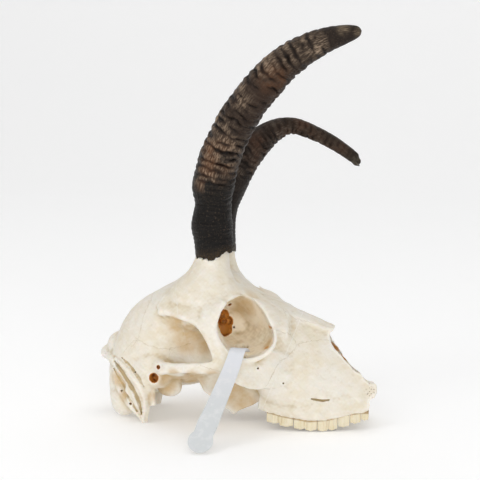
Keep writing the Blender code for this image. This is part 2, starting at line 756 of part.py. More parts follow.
def parted(bone):
    """the bone cut into its named nodes"""
    cuts = [slab("rear cut", *REAR_CUT), slab("front cut", *FRONT_CUT), midline_cut()]
    with_pieces(bone, cuts, "DIFFERENCE")
    found = {}
    for _, mesh in loose_parts(bone):
        centre = np.mean([v.co for v in mesh.vertices], axis=0) / MM
        if centre[0] < -35:
            name = "braincase"
        elif centre[0] > 30:
            name = "muzzle"
        else:
            name = "forehead_right" if centre[1] < 0 else "forehead_left"
        found.setdefault(name, mesh)
    bpy.data.objects.remove(bone, do_unlink=True)
    return [new_object(name, mesh) for name, mesh in found.items()]


# Finishes

def material(name, colour, roughness):
    finish = bpy.data.materials.new(name)
    finish.use_nodes = True
    shader = finish.node_tree.nodes["Principled BSDF"]
    shader.inputs["Base Color"].default_value = (*colour, 1)
    shader.inputs["Roughness"].default_value = roughness
    shader.inputs["Metallic"].default_value = 0.0
    return finish


COLOURS = {"horn": (0.035, 0.027, 0.022), "bone": (0.80, 0.74, 0.62), "tag": (0.74, 0.77, 0.80)}


def finish_all(nodes):
    for node in nodes:
        kind = "horn" if "horn" in node.name else "tag" if "tag" in node.name else "bone"
        node.data.materials.clear()
        node.data.materials.append(material(node.name, COLOURS[kind], 0.55 if kind == "bone" else 0.4))
        node.data.shade_smooth()
        node.data.set_sharp_from_angle(angle=math.radians(40))


def centre_on_floor(nodes):
    """the origin comes under the middle of the whole, on the floor"""
    points = np.array([v.co for node in nodes for v in node.data.vertices])
    low, high = points.min(axis=0), points.max(axis=0)
    shift = Vector((-(low[0] + high[0]) / 2, -(low[1] + high[1]) / 2, -low[2]))
    for node in nodes:
        for vert in node.data.vertices:
            vert.co += shift
    print("size mm", ((high - low) / MM).round(1), "shift mm", [round(c / MM, 2) for c in shift])


def build():
    clear_scene()
    bone = broad_masses()
    hollows = [nasal_cavity()]
    for make in (orbit_cutter, temporal_hollow, orbit_passage):
        piece = make()
        hollows += [piece, twin(piece)]
    with_pieces(bone, hollows, "DIFFERENCE")
    bone = fused("bone", [bone] + finer_parts(), FINE_VOXEL, FINE_ROUNDS)
    bone = thinned(bone, BONE_TRIANGLES)
    hole = ear_hole()
    cuts = [foramen_magnum(), choanae(), nose_opening(), palate_notch(), hole, twin(hole), floor_box()]
    for name, rows, side in (("horn_right", RIGHT_HORN, -1), ("horn_left", LEFT_HORN, 1)):
        cuts.append(horn(name + " seat", rows, side, GAP))
    with_pieces(bone, cuts, "DIFFERENCE")
    keep_largest(bone)
    with_pieces(bone, teeth(), "UNION")
    keep_largest(bone)
    nodes = parted(bone)
    nodes.append(horn("horn_right", RIGHT_HORN, -1))
    nodes.append(horn("horn_left", LEFT_HORN, 1))
    nodes.append(specimen_tag())
    centre_on_floor(nodes)
    finish_all(nodes)
    for node in nodes:
        node.data.calc_loop_triangles()
        print(node.name, len(node.data.loop_triangles))


build()
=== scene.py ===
# %% [markdown]
# # A ram's skull with two ribbed horns and a blank tag
#
# The object is the cleaned skull of a ram, without its lower jaw, lying on its cheek teeth. It carries
# a thick dark horn on its right and a thin brown one, curling forwards, on its left. A plain plastic
# strip hangs over the rim of the right eye socket. The lesson goes from the bare frame to the finished
# picture: first the horns and the bone, then teeth and strip, and at the end finishes, camera and light.

import math

import bmesh
import bpy
import numpy as np
from mathutils import Matrix, Vector
from mathutils.bvhtree import BVHTree
from mathutils.kdtree import KDTree


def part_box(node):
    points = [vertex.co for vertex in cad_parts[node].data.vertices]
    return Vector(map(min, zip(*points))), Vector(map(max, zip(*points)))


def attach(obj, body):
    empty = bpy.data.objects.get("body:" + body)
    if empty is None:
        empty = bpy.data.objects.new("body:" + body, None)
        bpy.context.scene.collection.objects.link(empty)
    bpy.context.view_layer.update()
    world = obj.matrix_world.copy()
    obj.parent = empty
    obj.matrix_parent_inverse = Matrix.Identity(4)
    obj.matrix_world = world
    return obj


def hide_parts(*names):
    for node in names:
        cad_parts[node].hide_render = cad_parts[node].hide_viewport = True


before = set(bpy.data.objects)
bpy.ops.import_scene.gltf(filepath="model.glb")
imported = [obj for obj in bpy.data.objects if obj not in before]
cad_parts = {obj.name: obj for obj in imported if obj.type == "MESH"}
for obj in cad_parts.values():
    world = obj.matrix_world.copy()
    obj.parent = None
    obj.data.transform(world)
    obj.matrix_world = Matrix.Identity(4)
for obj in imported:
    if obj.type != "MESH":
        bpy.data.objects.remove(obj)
bpy.context.view_layer.update()


# %% [markdown]
# Bones are easiest to measure in millimetres from the animal's own midline: x runs forward along the
# nose, y to the animal's left and z up from the table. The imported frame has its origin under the
# middle of the whole object, and the strip hangs out to one side, so the midline lies a little to the
# left of that origin. The muzzle is the same on both sides, so its box gives the midline.

# %% From the skull's own millimetres to the frame
MM = 0.001
NOSE_SHIFT = -0.86 * MM      # the eye sockets' middle stands this far behind the middle of the whole
muzzle_low, muzzle_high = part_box("muzzle")
SHIFT = Vector((NOSE_SHIFT, (muzzle_low[1] + muzzle_high[1]) / 2, 0.0))
print("midline at y =", round(SHIFT.y, 5))


def placed(thing):
    """move a piece made in the skull's own axes to its place in the frame"""
    thing.data.transform(Matrix.Translation(SHIFT))


# %% [markdown]
# A few helpers make every mass of bone: a body lofted over stations, a flat or round bar along a
# smooth line, a ball and an upright plate. The stations are few, and a Catmull-Rom curve fills in the
# rest, so a change of one number moves the whole form smoothly.

# %% Helpers for closed meshes
def new_object(name, mesh):
    thing = bpy.data.objects.new(name, mesh)
    bpy.context.scene.collection.objects.link(thing)
    return thing


def object_of(name, work):
    """object made from a bmesh, which is freed"""
    mesh = bpy.data.meshes.new(name)
    work.to_mesh(mesh)
    work.free()
    return new_object(name, mesh)


def closed_mesh(name, points, faces):
    """object with points in millimetres and its faces turned outwards"""
    work = bmesh.new()
    verts = [work.verts.new([c * MM for c in p]) for p in points]
    for face in faces:
        work.faces.new([verts[i] for i in face])
    bmesh.ops.recalc_face_normals(work, faces=work.faces)
    return object_of(name, work)


def unit(v):
    return v / np.linalg.norm(v)


def through(rows, count, closed=False):
    """count rows read evenly from a smooth curve through the given rows"""
    rows = np.asarray(rows, float)
    n = len(rows)
    spans = n if closed else n - 1
    out = []
    for t in np.linspace(0, spans, count, endpoint=not closed):
        i = min(int(t), spans - 1)
        u = t - i
        picks = [(i + k) % n if closed else min(max(i + k, 0), n - 1) for k in (-1, 0, 1, 2)]
        a, b, c, d = (rows[k] for k in picks)
        out.append(0.5 * (2 * b + (c - a) * u + (2 * a - 5 * b + 4 * c - d) * u ** 2
                          + (3 * b - a - 3 * c + d) * u ** 3))
    return np.array(out)


def skin(name, rings, closed=False):
    """skin over a run of rings, which closes on itself or has a fan of faces on each end"""
    count, sides = len(rings), len(rings[0])
    points = [tuple(p) for ring in rings for p in ring]
    faces = []
    for r in range(count if closed else count - 1):
        near, far = r * sides, (r + 1) % count * sides
        faces += [(near + s, near + (s + 1) % sides, far + (s + 1) % sides, far + s) for s in range(sides)]
    ends = () if closed else ((0, rings[0]), ((count - 1) * sides, rings[-1]))
    for first, ring in ends:
        faces += [(first + s, first + (s + 1) % sides, len(points)) for s in range(sides)]
        points.append(tuple(np.mean(ring, axis=0)))
    return closed_mesh(name, points, faces)


def oval(sides, square_up=2.0, square_down=2.0):
    """unit outline; a higher square makes its upper or lower half boxier"""
    out = []
    for k in range(sides):
        a = 2 * math.pi * (k + 0.5) / sides
        n = square_up if math.sin(a) > 0 else square_down
        c, s = math.cos(a), math.sin(a)
        out.append((math.copysign(abs(c) ** (2 / n), c), math.copysign(abs(s) ** (2 / n), s)))
    return out


# %% Lofts, bars, balls and plates
def hull_along(name, stations, count=48, sides=48):
    """body along x; a station is x, top, widest, bottom, half width, square up, square down"""
    rings = []
    for x, top, wide, bottom, half, up, down in through(stations, count):
        rings.append([(x, c * half, wide + s * ((top - wide) if s > 0 else (wide - bottom)))
                      for c, s in oval(sides, up, down)])
    return skin(name, rings)


def bar(name, rows, across=(1, 0, 0), count=24, sides=14, square=2.2):
    """flattened rod; a row is x, y, z, half width towards across, half thickness"""
    path = through(rows, count)
    rings = []
    for k, row in enumerate(path):
        run = unit(path[min(k + 1, count - 1)][:3] - path[max(k - 1, 0)][:3])
        side = unit(np.asarray(across, float) - run * np.dot(across, run))
        face = np.cross(run, side)
        rings.append([row[:3] + side * row[3] * c + face * row[4] * s
                      for c, s in oval(sides, square, square)])
    return skin(name, rings)


def rod(name, rows, count=16, sides=14):
    """round rod; a row is x, y, z, radius"""
    return bar(name, [(*row, row[3]) for row in rows], (0.31, 0.52, 0.79), count, sides, 2.0)


def ring_rod(name, rows, count=72, sides=10):
    """round rod that closes on itself"""
    path = through(rows, count, closed=True)
    middle = path[:, :3].mean(axis=0)
    rings = []
    for k, row in enumerate(path):
        run = path[(k + 1) % count][:3] - path[k - 1][:3]
        out = row[:3] - middle
        out = unit(out - run * out.dot(run) / run.dot(run))
        up = np.cross(unit(run), out)
        rings.append([row[:3] + (out * c + up * s) * row[3] for c, s in oval(sides)])
    return skin(name, rings, closed=True)


def blob(name, centre, radii):
    work = bmesh.new()
    bmesh.ops.create_icosphere(work, subdivisions=4, radius=1.0)
    for vert in work.verts:
        vert.co = Vector([(c + r * p) * MM for c, r, p in zip(centre, radii, vert.co)])
    return object_of(name, work)


def prism(name, side_a, side_b):
    """body between two flat outlines with the same number of points"""
    n = len(side_a)
    faces = [tuple(range(n)), tuple(range(2 * n - 1, n - 1, -1))]
    faces += [(k, (k + 1) % n, n + (k + 1) % n, n + k) for k in range(n)]
    return closed_mesh(name, list(side_a) + list(side_b), faces)


def plate(name, outline, y_inner, y_outer):
    """flat plate with an outline in x and z"""
    return prism(name, [(x, y_inner, z) for x, z in outline], [(x, y_outer, z) for x, z in outline])


def twin(thing):
    """the same piece on the other side of the skull"""
    mesh = thing.data.copy()
    mesh.transform(Matrix.Scale(-1, 4, Vector((0, 1, 0))))
    mesh.flip_normals()
    return new_object(thing.name, mesh)


def with_twins(pieces):
    return pieces + [twin(piece) for piece in pieces]


# %% [markdown]
# Bone has no seams between its masses: they flow into each other. So the pieces are laid over one
# another, a voxel remesh wraps one skin round them, and a Smooth modifier softens the joins. The
# hollows are cut by a Boolean. That is done in three rounds, each with a finer skin than the last, so
# that broad masses flow softly and thin edges stay crisp.

# %% Fusing and cutting
def settled(thing):
    """bake the modifiers into the mesh"""
    graph = bpy.context.evaluated_depsgraph_get()
    graph.update()
    mesh = bpy.data.meshes.new_from_object(thing.evaluated_get(graph))
    thing.modifiers.clear()
    thing.data = mesh
    return thing


def joined(name, pieces):
    """several closed pieces in one mesh, still separate skins"""
    work = bmesh.new()
    for piece in pieces:
        work.from_mesh(piece.data)
        bpy.data.objects.remove(piece, do_unlink=True)
    return object_of(name, work)


def fused(name, pieces, voxel, rounds):
    """one closed skin over overlapping pieces, softened a little"""
    thing = joined(name, pieces)
    remesh = thing.modifiers.new("skin", "REMESH")
    remesh.mode = "VOXEL"
    remesh.voxel_size = voxel * MM
    soften = thing.modifiers.new("soften", "SMOOTH")
    soften.factor = 0.5
    soften.iterations = rounds
    return settled(thing)


def with_pieces(thing, pieces, operation="DIFFERENCE"):
    """cut the pieces from a body, or join them to it, in one Boolean"""
    group = bpy.data.collections.new("pieces")
    bpy.context.scene.collection.children.link(group)
    for piece in pieces:
        group.objects.link(piece)
    step = thing.modifiers.new("pieces", "BOOLEAN")
    step.operation = operation
    step.operand_type = "COLLECTION"
    step.collection = group
    step.solver = "MANIFOLD"
    settled(thing)
    for piece in pieces:
        bpy.data.objects.remove(piece, do_unlink=True)
    bpy.data.collections.remove(group)
    return thing


# %% [markdown]
# Grown bone is never even. A sum of waves in random directions gives a noise with a known size in
# millimetres, and the same readers and writers of points serve every later step.

# %% Unevenness of real bone
def wave_noise(points, size, seed):
    """smooth noise of about -1..1, made of waves of one size (mm) in random directions"""
    rng = np.random.default_rng(seed)
    total = np.zeros(len(points))
    for _ in range(14):
        way = rng.normal(size=3)
        way *= 2 * math.pi / size * rng.uniform(0.7, 1.5) / np.linalg.norm(way)
        total += np.sin(points @ way + rng.uniform(0, 2 * math.pi))
    return total / 4.0


def read_points(mesh):
    flat = np.empty(len(mesh.vertices) * 3)
    mesh.vertices.foreach_get("co", flat)
    return flat.reshape(-1, 3) / MM


def write_points(mesh, points):
    mesh.vertices.foreach_set("co", (np.asarray(points) * MM).ravel())
    mesh.update()


def read_normals(mesh):
    flat = np.empty(len(mesh.vertices) * 3)
    mesh.vertex_normals.foreach_get("vector", flat)
    return flat.reshape(-1, 3)


def uneven(thing, heights):
    """push the skin in and out by waves: a list of size and height, mm"""
    points = read_points(thing.data)
    lift = sum(height * wave_noise(points, size, seed) for seed, (size, height) in enumerate(heights, 11))
    resting = points[:, 2] < TABLE + 0.05
    lift[resting] = 0.0
    write_points(thing.data, points + read_normals(thing.data) * lift[:, None])
    return thing


def set_mark(mesh, name, values):
    mesh.attributes.new(name, "FLOAT", "POINT").data.foreach_set("value", np.asarray(values, np.float32))


# %% [markdown]
# ## The broad masses
#
# Braincase, forehead roof and muzzle are three lofts along the midline. A cone of bone on each side
# carries the horn, and a ball of bone on each side is there for the eye socket to be hollowed out of.

# %% Driving dimensions of the bone, mm
CRANIUM_HALF = 33.0          # half width of the braincase
MUZZLE_HALF = 38.0           # half width across the facial tubers
RIM_HALF = 52.0              # half width across the lower orbital rims
MIDLINE_TOP = 112.0          # forehead between the horn pedicles, above the table
PEDICLE_SPREAD = 17.5        # half distance between the horn pedicles
TABLE = 0.0
BROAD_VOXEL, BROAD_ROUNDS = 1.3, 24
MIDDLE_VOXEL, MIDDLE_ROUNDS = 0.95, 11
FINE_VOXEL, FINE_ROUNDS = 0.75, 4


# %% Braincase, forehead and muzzle
def braincase():
    return hull_along("braincase", [
        (-88.5, 48, 30, 8, 18, 2.0, 3.0),
        (-84, 61, 36, 9, 22.5, 2.0, 2.8),
        (-77, 74, 40, 12, 27.5, 2.0, 2.6),
        (-69, 82, 43, 16, CRANIUM_HALF - 1.5, 2.0, 2.4),
        (-60, 88, 46, 19, CRANIUM_HALF, 2.1, 2.3),
        (-50, 93.5, 50, 21, CRANIUM_HALF, 2.2, 2.2),
        (-40, 99, 54, 23, CRANIUM_HALF - 2.5, 2.2, 2.0),
        (-27, 103, 57, 24, 27, 2.2, 2.0),
        (-13, 102, 60, 24, 20, 2.4, 2.0),
        (0, 96, 60, 25, 15, 2.6, 2.0),
        (14, 86, 58, 25, 14, 2.6, 2.0),
        (30, 79, 50, 24, 16, 2.6, 2.0)])


def forehead_roof():
    return hull_along("roof", [
        (-54, 90, 78, 68, 24, 2.2, 2.0),
        (-46, 95.5, 77, 67, 31, 2.0, 2.0),
        (-34, 104.5, 75, 64, 39, 1.7, 2.0),
        (-22, MIDLINE_TOP - 3, 75, 65, 46, 1.55, 2.2),
        (-10, 107.5, 77, 66, 48, 1.6, 2.4),
        (0, 101.8, 79.5, 70, 43, 1.75, 2.6),
        (9, 94.8, 79.5, 72, 37, 1.9, 2.6),
        (18, 88.4, 76, 68, 36, 2.0, 2.4),
        (28, 84.6, 71, 58, 35, 2.1, 2.2),
        (38, 81.5, 65, 52, 31, 2.2, 2.0)])


def muzzle():
    return hull_along("muzzle", [
        (12, 84, 50, 34, 45, 2.4, 2.2),
        (20, 84.5, 47, 18, MUZZLE_HALF + 5, 2.1, 2.5),
        (28, 84, 43, 13, MUZZLE_HALF + 3, 1.9, 2.9),
        (37, 82, 38, 12, MUZZLE_HALF, 1.65, 3.4),
        (48, 77.2, 34, 12, MUZZLE_HALF - 2, 1.55, 4.0),
        (60, 72.2, 31, 12, 32, 1.5, 4.0),
        (72, 67, 29, 12.5, 27.5, 1.45, 4.0),
        (84, 60, 27, 13, 23, 1.5, 4.0),
        (94, 52, 25, 15, 19.5, 1.6, 4.0),
        (101, 44, 25, 17, 17, 1.8, 3.0)])


def pedicle():
    """bony cone that carries the left horn"""
    stations = [(86, -20.5, 19, 29, 24), (95, -20.5, 19, 24.5, 20), (103, -19.4, 18.5, 17.6, 17),
                (110, -18, 18, 13.4, 14), (116, -17, PEDICLE_SPREAD, 11.8, 12.4),
                (122, -16.4, PEDICLE_SPREAD, 10.8, 11.2), (128, -16.5, PEDICLE_SPREAD, 9.5, 9.5)]
    rings = []
    for z, x, y, long, wide in through(stations, 24):
        rings.append([(x + long * c, y + wide * s, z) for c, s in oval(32)])
    return skin("pedicle", rings)


def broad_masses():
    pieces = [braincase(), forehead_roof(), muzzle()]
    for piece in (pedicle(), blob("orbit block", (9, 25, 70), (25, 21, 20))):
        pieces += with_twins([piece])
    return fused("bone", pieces, BROAD_VOXEL, BROAD_ROUNDS)


# %% [markdown]
# ## The eye socket
#
# A sheep's eye socket is an egg-shaped hollow with a raised, closed rim. The rim is a closed curve
# through ten points; the same curve, drawn together step by step on its way inwards, makes the
# hollow. The rim's lower part is thick and rolled, its upper edge thin.

# %% Rim and hollow of the left eye socket
ORBIT_RIM = [(8, 28.4, 92.2), (17.2, 30, 86.2), (24.2, 36, 77.2), (29, 41, 68.3), (26, 48, 60),
             (14, RIM_HALF, 54.2), (4, RIM_HALF + 0.5, 56.3), (-4, 51, 62), (-9, 47, 74), (-4.8, 38, 87.4)]
ORBIT_DEPTHS = [(-30, 1.2), (-12, 1.06), (0, 1.0), (8, 1.03), (17, 0.93), (26, 0.72), (33, 0.42)]
ORBIT_INWARDS = np.array([-0.30, -1.0, -0.06])


def orbit_cutter():
    rim = through(ORBIT_RIM, 60, closed=True)
    middle = rim.mean(axis=0)
    rings = []
    for depth, scale in through(ORBIT_DEPTHS, 24):
        ring = middle + (rim - middle) * scale
        ring[:, 1] += (middle[1] - ring[:, 1]) * min(1.0, abs(depth) / 26)
        rings.append(ring + ORBIT_INWARDS * depth)
    return skin("orbit hollow", rings)


def orbit_lip():
    rim = np.array(ORBIT_RIM)
    middle = rim.mean(axis=0)
    rows = []
    for place in rim:
        low = min(1.0, max(0.0, (middle[2] + 8 - place[2]) / 28))
        x, y, z = middle + (place - middle) * (1.0 + 0.08 * low)
        rows.append((x, y - 1.2, z, 1.0 + 1.7 * low))
    return ring_rod("orbit lip", rows)


# %% [markdown]
# ## The finer parts
#
# Arches, crests and processes are bars along short curves, kept in one table: each row has the
# points with half width and half thickness, and the direction that the width lies in. Only the left
# side is written down, and a mirrored twin is added to each.

# %% Tables of bars, rods, balls and ridges, and the parts made from them
SIDE_BARS = {
    "cheek arch": ([(2, 51.8, 49, 4.8, 2.8), (-8, 53.5, 47.5, 4.6, 2.6), (-18, 53.6, 46.2, 3.9, 2.4),
                    (-28, 52.5, 45.6, 3.6, 2.4), (-37, 48.5, 44.5, 3.6, 2.5), (-45, 42, 42.5, 4.4, 3.2),
                    (-52, 32, 41, 6.0, 4.5)], (0, 0, 1)),
    "jugal": ([(-8, 53.0, 49, 4.5, 2.4), (2, 52.1, 48, 6.0, 2.7), (10, 49.5, 43.5, 9.5, 2.8),
               (18, 46, 40.5, 9.5, 2.6), (26, 42.5, 39.5, 8.0, 2.0), (34, 39, 38.5, 5.5, 1.4),
               (41, 36.4, 37.5, 3.5, 0.9)], (0, 0.2, 1)),
    "slope of the cheek": ([(10, 48, 53, 5, 2.5), (18, 45, 53, 6, 2.6), (26, 41.7, 52, 6.5, 2.6),
                            (34, 37.2, 49.5, 6, 2.0), (44, 32.4, 46, 4, 0.6)], (0, -0.25, 1)),
    "brow plate": ([(-51, 25, 86, 5, 1.6), (-44, 29.6, 84.6, 6.5, 2.2), (-36, 35, 83.2, 7, 2.4),
                    (-28, 39.4, 81.6, 7, 2.6), (-21.4, 42.8, 79, 7, 2.6), (-16, 45, 75, 6.5, 2.6)],
                   (0, -0.6, 0.8)),
    "orbit post": ([(-8, 38, 90, 6.0, 2.6), (-13.4, 44.6, 81.5, 6.8, 2.5), (-14.2, 48.8, 71, 5.6, 2.3),
                    (-11.2, 50.7, 64.5, 4.7, 2.3), (-8.4, 51.9, 58.5, 4.7, 2.4), (-5, 52.8, 52.5, 5.4, 2.7),
                    (0, 52.5, 48, 5.2, 3.0)], (1, 0, 0.2)),
    "temporal edge": ([(-52, 26, 82.4, 2.6, 2.2), (-46, 31.5, 80, 3.2, 2.6), (-38, 36.6, 78.4, 3.0, 2.0),
                       (-28, 42, 76.6, 3.0, 2.0), (-21.4, 45.6, 73.6, 3.0, 2.0), (-17, 48, 68.6, 3.0, 2.0)],
                      (0, 1, 0)),
    "nape crest": ([(-91, 0, 43.4, 5.6, 3.6), (-89, 9, 43.6, 4.4, 3.2), (-86, 16.5, 42.2, 3.5, 2.8),
                    (-81.6, 22.5, 39.2, 3.0, 2.6), (-76.1, 27.5, 35, 3.0, 2.6), (-70.6, 31.6, 28.4, 3.2, 2.6),
                    (-66.3, 33, 19.4, 3.4, 2.8), (-62.8, 30.5, 9, 2.8, 2.4)], (1, 0, 0.6)),
    "occiput fold": ([(-86, 14, 38, 2.6, 2.2), (-83, 19, 29.5, 2.6, 2.2), (-78.2, 23.6, 21.3, 2.6, 2.2),
                      (-72, 26.8, 14.6, 2.7, 2.2), (-66, 28.4, 8.4, 2.5, 2.2)], (1, 0, 0.6)),
    "joint bar": ([(-39, 46, 42.6, 4, 2.0), (-38, 39, 39, 5.5, 2.2), (-38, 30, 37, 7, 3.0),
                   (-38, 20, 35, 8, 5)], (1, 0, 0)),
    "paracondylar process": ([(-65, 33, 26, 9, 4.0), (-64.5, 32, 18, 8.4, 3.0), (-62.5, 30, 10, 6.2, 2.4),
                              (-61, 28, 3, 3.4, 2.0), (-60.5, 27, -2, 2.2, 1.7)], (1, 0, 0)),
    "tooth bed": ([(19, 24.5, 20.5, 7, 5.4), (29, 25.5, 18.5, 7.8, 6.6), (46, 26, 15.6, 8.0, 7.0),
                   (58, 25.4, 15.2, 8.2, 6.6), (68, 23.6, 16.4, 8.2, 5.8), (78, 20.8, 18.6, 8.0, 5.2),
                   (90, 17.2, 19.6, 7.2, 4.2), (98, 15.6, 23, 5.6, 3.4)], (0, 0, 1)),
    "nasal bone": ([(22, 4.0, 84.2, 2.0, 1.0), (34, 6.2, 79.8, 6.4, 1.8), (44, 6.6, 75.9, 6.8, 1.8),
                    (54, 6.2, 72.1, 6.2, 1.8), (62, 5.4, 68.8, 5.0, 1.8), (70, 4.0, 66.6, 2.6, 1.4)],
                   (0, 1, -0.25)),
    "lip of the slit": ([(54, 31.8, 25.2, 0.8, 0.6), (59, 31.0, 24.9, 1.6, 1.1), (64, 29.2, 24.5, 1.6, 1.1),
                         (68.5, 27.4, 24.4, 0.8, 0.6)], (0, 0.2, 1))}
SIDE_RODS = {
    "side knob": [(-44, 27, 80, 4.2), (-48, 30.5, 79.6, 3.6), (-51.5, 33, 78.6, 2.4)],
    "ear tube": [(-48, 20, 30, 7), (-51, 30, 32.6, 7), (-53.2, 37.6, 34.7, 5.0)],
    "small peg": [(-56, 31, 26, 3.2), (-55.5, 31, 19, 2.6), (-54, 30, 13, 1.8)]}
SIDE_BALLS = {
    "mastoid": ((-62, 29, 30), (10, 8, 14)),
    "ear bulla": ((-45, 19, 25), (9, 7, 8)),
    "condyle": ((-77, 15.5, 14), (10.5, 9.5, 12.5)),
    "condyle heel": ((-82, 12, 22), (7, 8, 12)),
    "condyle web": ((-69, 25, 17), (7, 5.5, 9)),
    "squamosal bulge": ((-55, 29.5, 37.5), (14, 8, 13))}
NAPE_BALLS = {"nape knob": ((-88, 0, 43.2), (10.2, 12, 6)), "nape slope": ((-84.8, 0, 49.5), (8, 15, 8.5))}
MIDLINE_BARS = {
    "skull base": ([(-84, 0, 14, 12, 5), (-66, 0, 18, 10, 5), (-50, 0, 23, 9, 4.5), (-34, 0, 26.5, 8, 4.2),
                    (-18, 0, 29, 7, 4), (4, 0, 33, 7, 5)], (0, 1, 0)),
    "palate": ([(22, 0, 21, 20, 3), (50, 0, 21, 20, 2.6), (78, 0, 22, 16, 2.4), (92, 0, 22.5, 12, 2.2)],
               (0, 1, 0))}
PTERYGOID = [(-26, 30), (-20.8, 20.6), (-15, 16.5), (-8.6, 11.9), (-3, 8.6), (0.5, 5.0), (3.5, 8.4),
             (8, 10.4), (14, 13.4), (21, 18), (30, 20), (30, 44), (-10, 44), (-24, 38)]

# the fan of ridges behind the ear, and the gutters between them, in x and z: they are laid on the skin
RIDGES = [
    [(-88.5, 43.6), (-86, 42.4), (-81.6, 39.2), (-76.1, 35), (-70.6, 28.4), (-66.3, 19.4), (-62.8, 9),
     (-61.2, 0)],
    [(-85, 36), (-82.5, 29), (-78.2, 21.3), (-72, 14.6), (-66, 8.4), (-62.6, 2)],
    [(-82.4, 43.6), (-76, 39.4), (-69, 33.4), (-63, 27.4), (-59.8, 18), (-60.4, 8), (-60.8, 1)]]
GUTTERS = [
    [(-84, 42.6), (-78.8, 37.8), (-72.6, 31.4), (-66.6, 24), (-63, 15), (-61.9, 6)],
    [(-84.4, 37), (-79.8, 29.4), (-74.6, 22.6), (-69, 15), (-64.6, 7.8)],
    [(-79, 46), (-71, 40.2), (-64.4, 34), (-59.4, 27)]]


def side_bars(names):
    """bars of the left side by name"""
    return [bar(name, *SIDE_BARS[name], 36, 16, 3.0) for name in names]


def middle_parts():
    """parts that melt into the bone around them"""
    paired = side_bars(SIDE_BARS)
    paired += [rod(name, rows) for name, rows in SIDE_RODS.items() if name != "small peg"]
    paired += [blob(name, *ball) for name, ball in SIDE_BALLS.items()] + [orbit_lip()]
    single = [bar(name, rows, across) for name, (rows, across) in MIDLINE_BARS.items()]
    single += [blob(name, *ball) for name, ball in NAPE_BALLS.items()]
    return with_twins(paired) + single


def surface(thing):
    return BVHTree.FromPolygons([v.co for v in thing.data.vertices],
                                [p.vertices for p in thing.data.polygons])


def laid_bar(skin_tree, line, lift, tall, thick):
    """bar along a line of x and z laid on the left side of the skin, with its middle lift mm out of it"""
    rows = []
    for x, z in through(line, 40):
        hit = skin_tree.ray_cast(Vector((x, 80, z)) * MM, Vector((0, -1, 0)))[0]
        if hit:
            rows.append((x, hit.y / MM + lift, z))
    rows = np.array(rows)
    for _ in range(6):
        rows[1:-1, 1] = (rows[:-2, 1] + rows[1:-1, 1] + rows[2:, 1]) / 3
    # the bar thins out over its last eight rows
    order = np.arange(len(rows))
    ends = np.clip(np.minimum(order, order[::-1]) / 8, 0.35, 1)
    return bar("laid", [(*row, tall, thick * end) for row, end in zip(rows, ends)], (0, 1, 0), 60, 14)


def sharp_parts(skin_tree):
    """thin parts that keep their edges; a ridge is a blade on a low swelling"""
    paired = side_bars(("temporal edge", "lip of the slit"))
    for line in RIDGES:
        paired += [laid_bar(skin_tree, line, -0.9, 1.8, 2.2), laid_bar(skin_tree, line, -0.2, 1.8, 0.85)]
    paired += [rod("small peg", SIDE_RODS["small peg"]), plate("pterygoid plate", PTERYGOID, 11.5, 15.5)]
    return with_twins(paired)


# %% [markdown]
# ## The hollows and holes
#
# The large hollows shape the skull: eye sockets, temporal hollows, nose and the hole for the spinal
# cord. Small holes let nerves and vessels through. Behind the eye the wall has rotted open, with a
# ragged edge, and thin bone inside it glows orange. Each stained hollow is a ball, so that the same
# ball can later tell which points of the skin lie on its wall.

# %% Tables of the hollows
SIDE_HOLLOWS = {
    "temporal hollow": ((-28, 43, 60), (17, 12, 13.5)),
    "orbit passage": ((-14, 33, 64), (13, 9, 12))}
STAINED_HOLLOWS = [
    ((-9.5, 14, 74.0), (5.6, 6.5, 5.6)), ((-9.0, 13, 67), (6.4, 6.5, 6.6)),
    ((-11.5, 16, 62.6), (5.4, 6, 4.6)), ((-6.0, 12, 70.5), (4.0, 5.0, 4.4)),
    ((-11, 15.5, 78.2), (3.0, 4.5, 2.6)), ((-4.8, 12.5, 65.2), (2.6, 4.0, 3.0))]
SCROLLS = [((-12.5, 9.6, 75), (3.2, 4.4, 3.0)), ((-9.4, 8.4, 70.6), (2.6, 3.8, 2.4)),
           ((-13.4, 11.5, 66), (2.6, 3.6, 3.0))]
SLIT = [(54.5, 32.8, 24.2, 0.35, 1.2), (58.5, 32.2, 23.2, 0.8, 2.2), (63, 30.8, 22.5, 1.0, 2.6),
        (67, 28.8, 22.9, 0.4, 1.4)]
NERVE_HOLES = [
    # start, end, radius at the start and at the end, how orange its inside is
    ((-54.2, 46, 35.1), (-51.7, 30, 33.7), 3.7, 3.0, 1.0),
    ((-49.3, 46, 43.6), (-49.6, 36, 42.0), 1.6, 1.1, 0.8),
    ((-67.2, 37, 37.2), (-66.4, 31, 36.2), 0.8, 0.6, 0.3),
    ((-69.1, 36, 14.0), (-70.5, 30, 14.6), 1.1, 0.8, 0.5),
    ((-78, 29, 21.4), (-76.0, 23, 21.6), 0.8, 0.6, 0.3),
    ((-1.0, 13, 66.7), (-2.5, 5, 66.2), 1.0, 0.7, 0.3),
    ((-3.5, 18, 83.0), (-6, 12, 84.4), 1.4, 0.9, 0.7),
    ((36.4, 42, 35.0), (35.6, 35.8, 35.4), 0.8, 0.6, 0.2),
    ((20.0, 54, 46.4), (19, 46.6, 47.2), 0.8, 0.6, 0.2),
    ((27.6, 37.5, 72.2), (23.5, 30, 71.4), 1.7, 1.2, 0.4),
    ((6, 24, 50), (5, 22, 62), 5.2, 4.2, 0.25)]
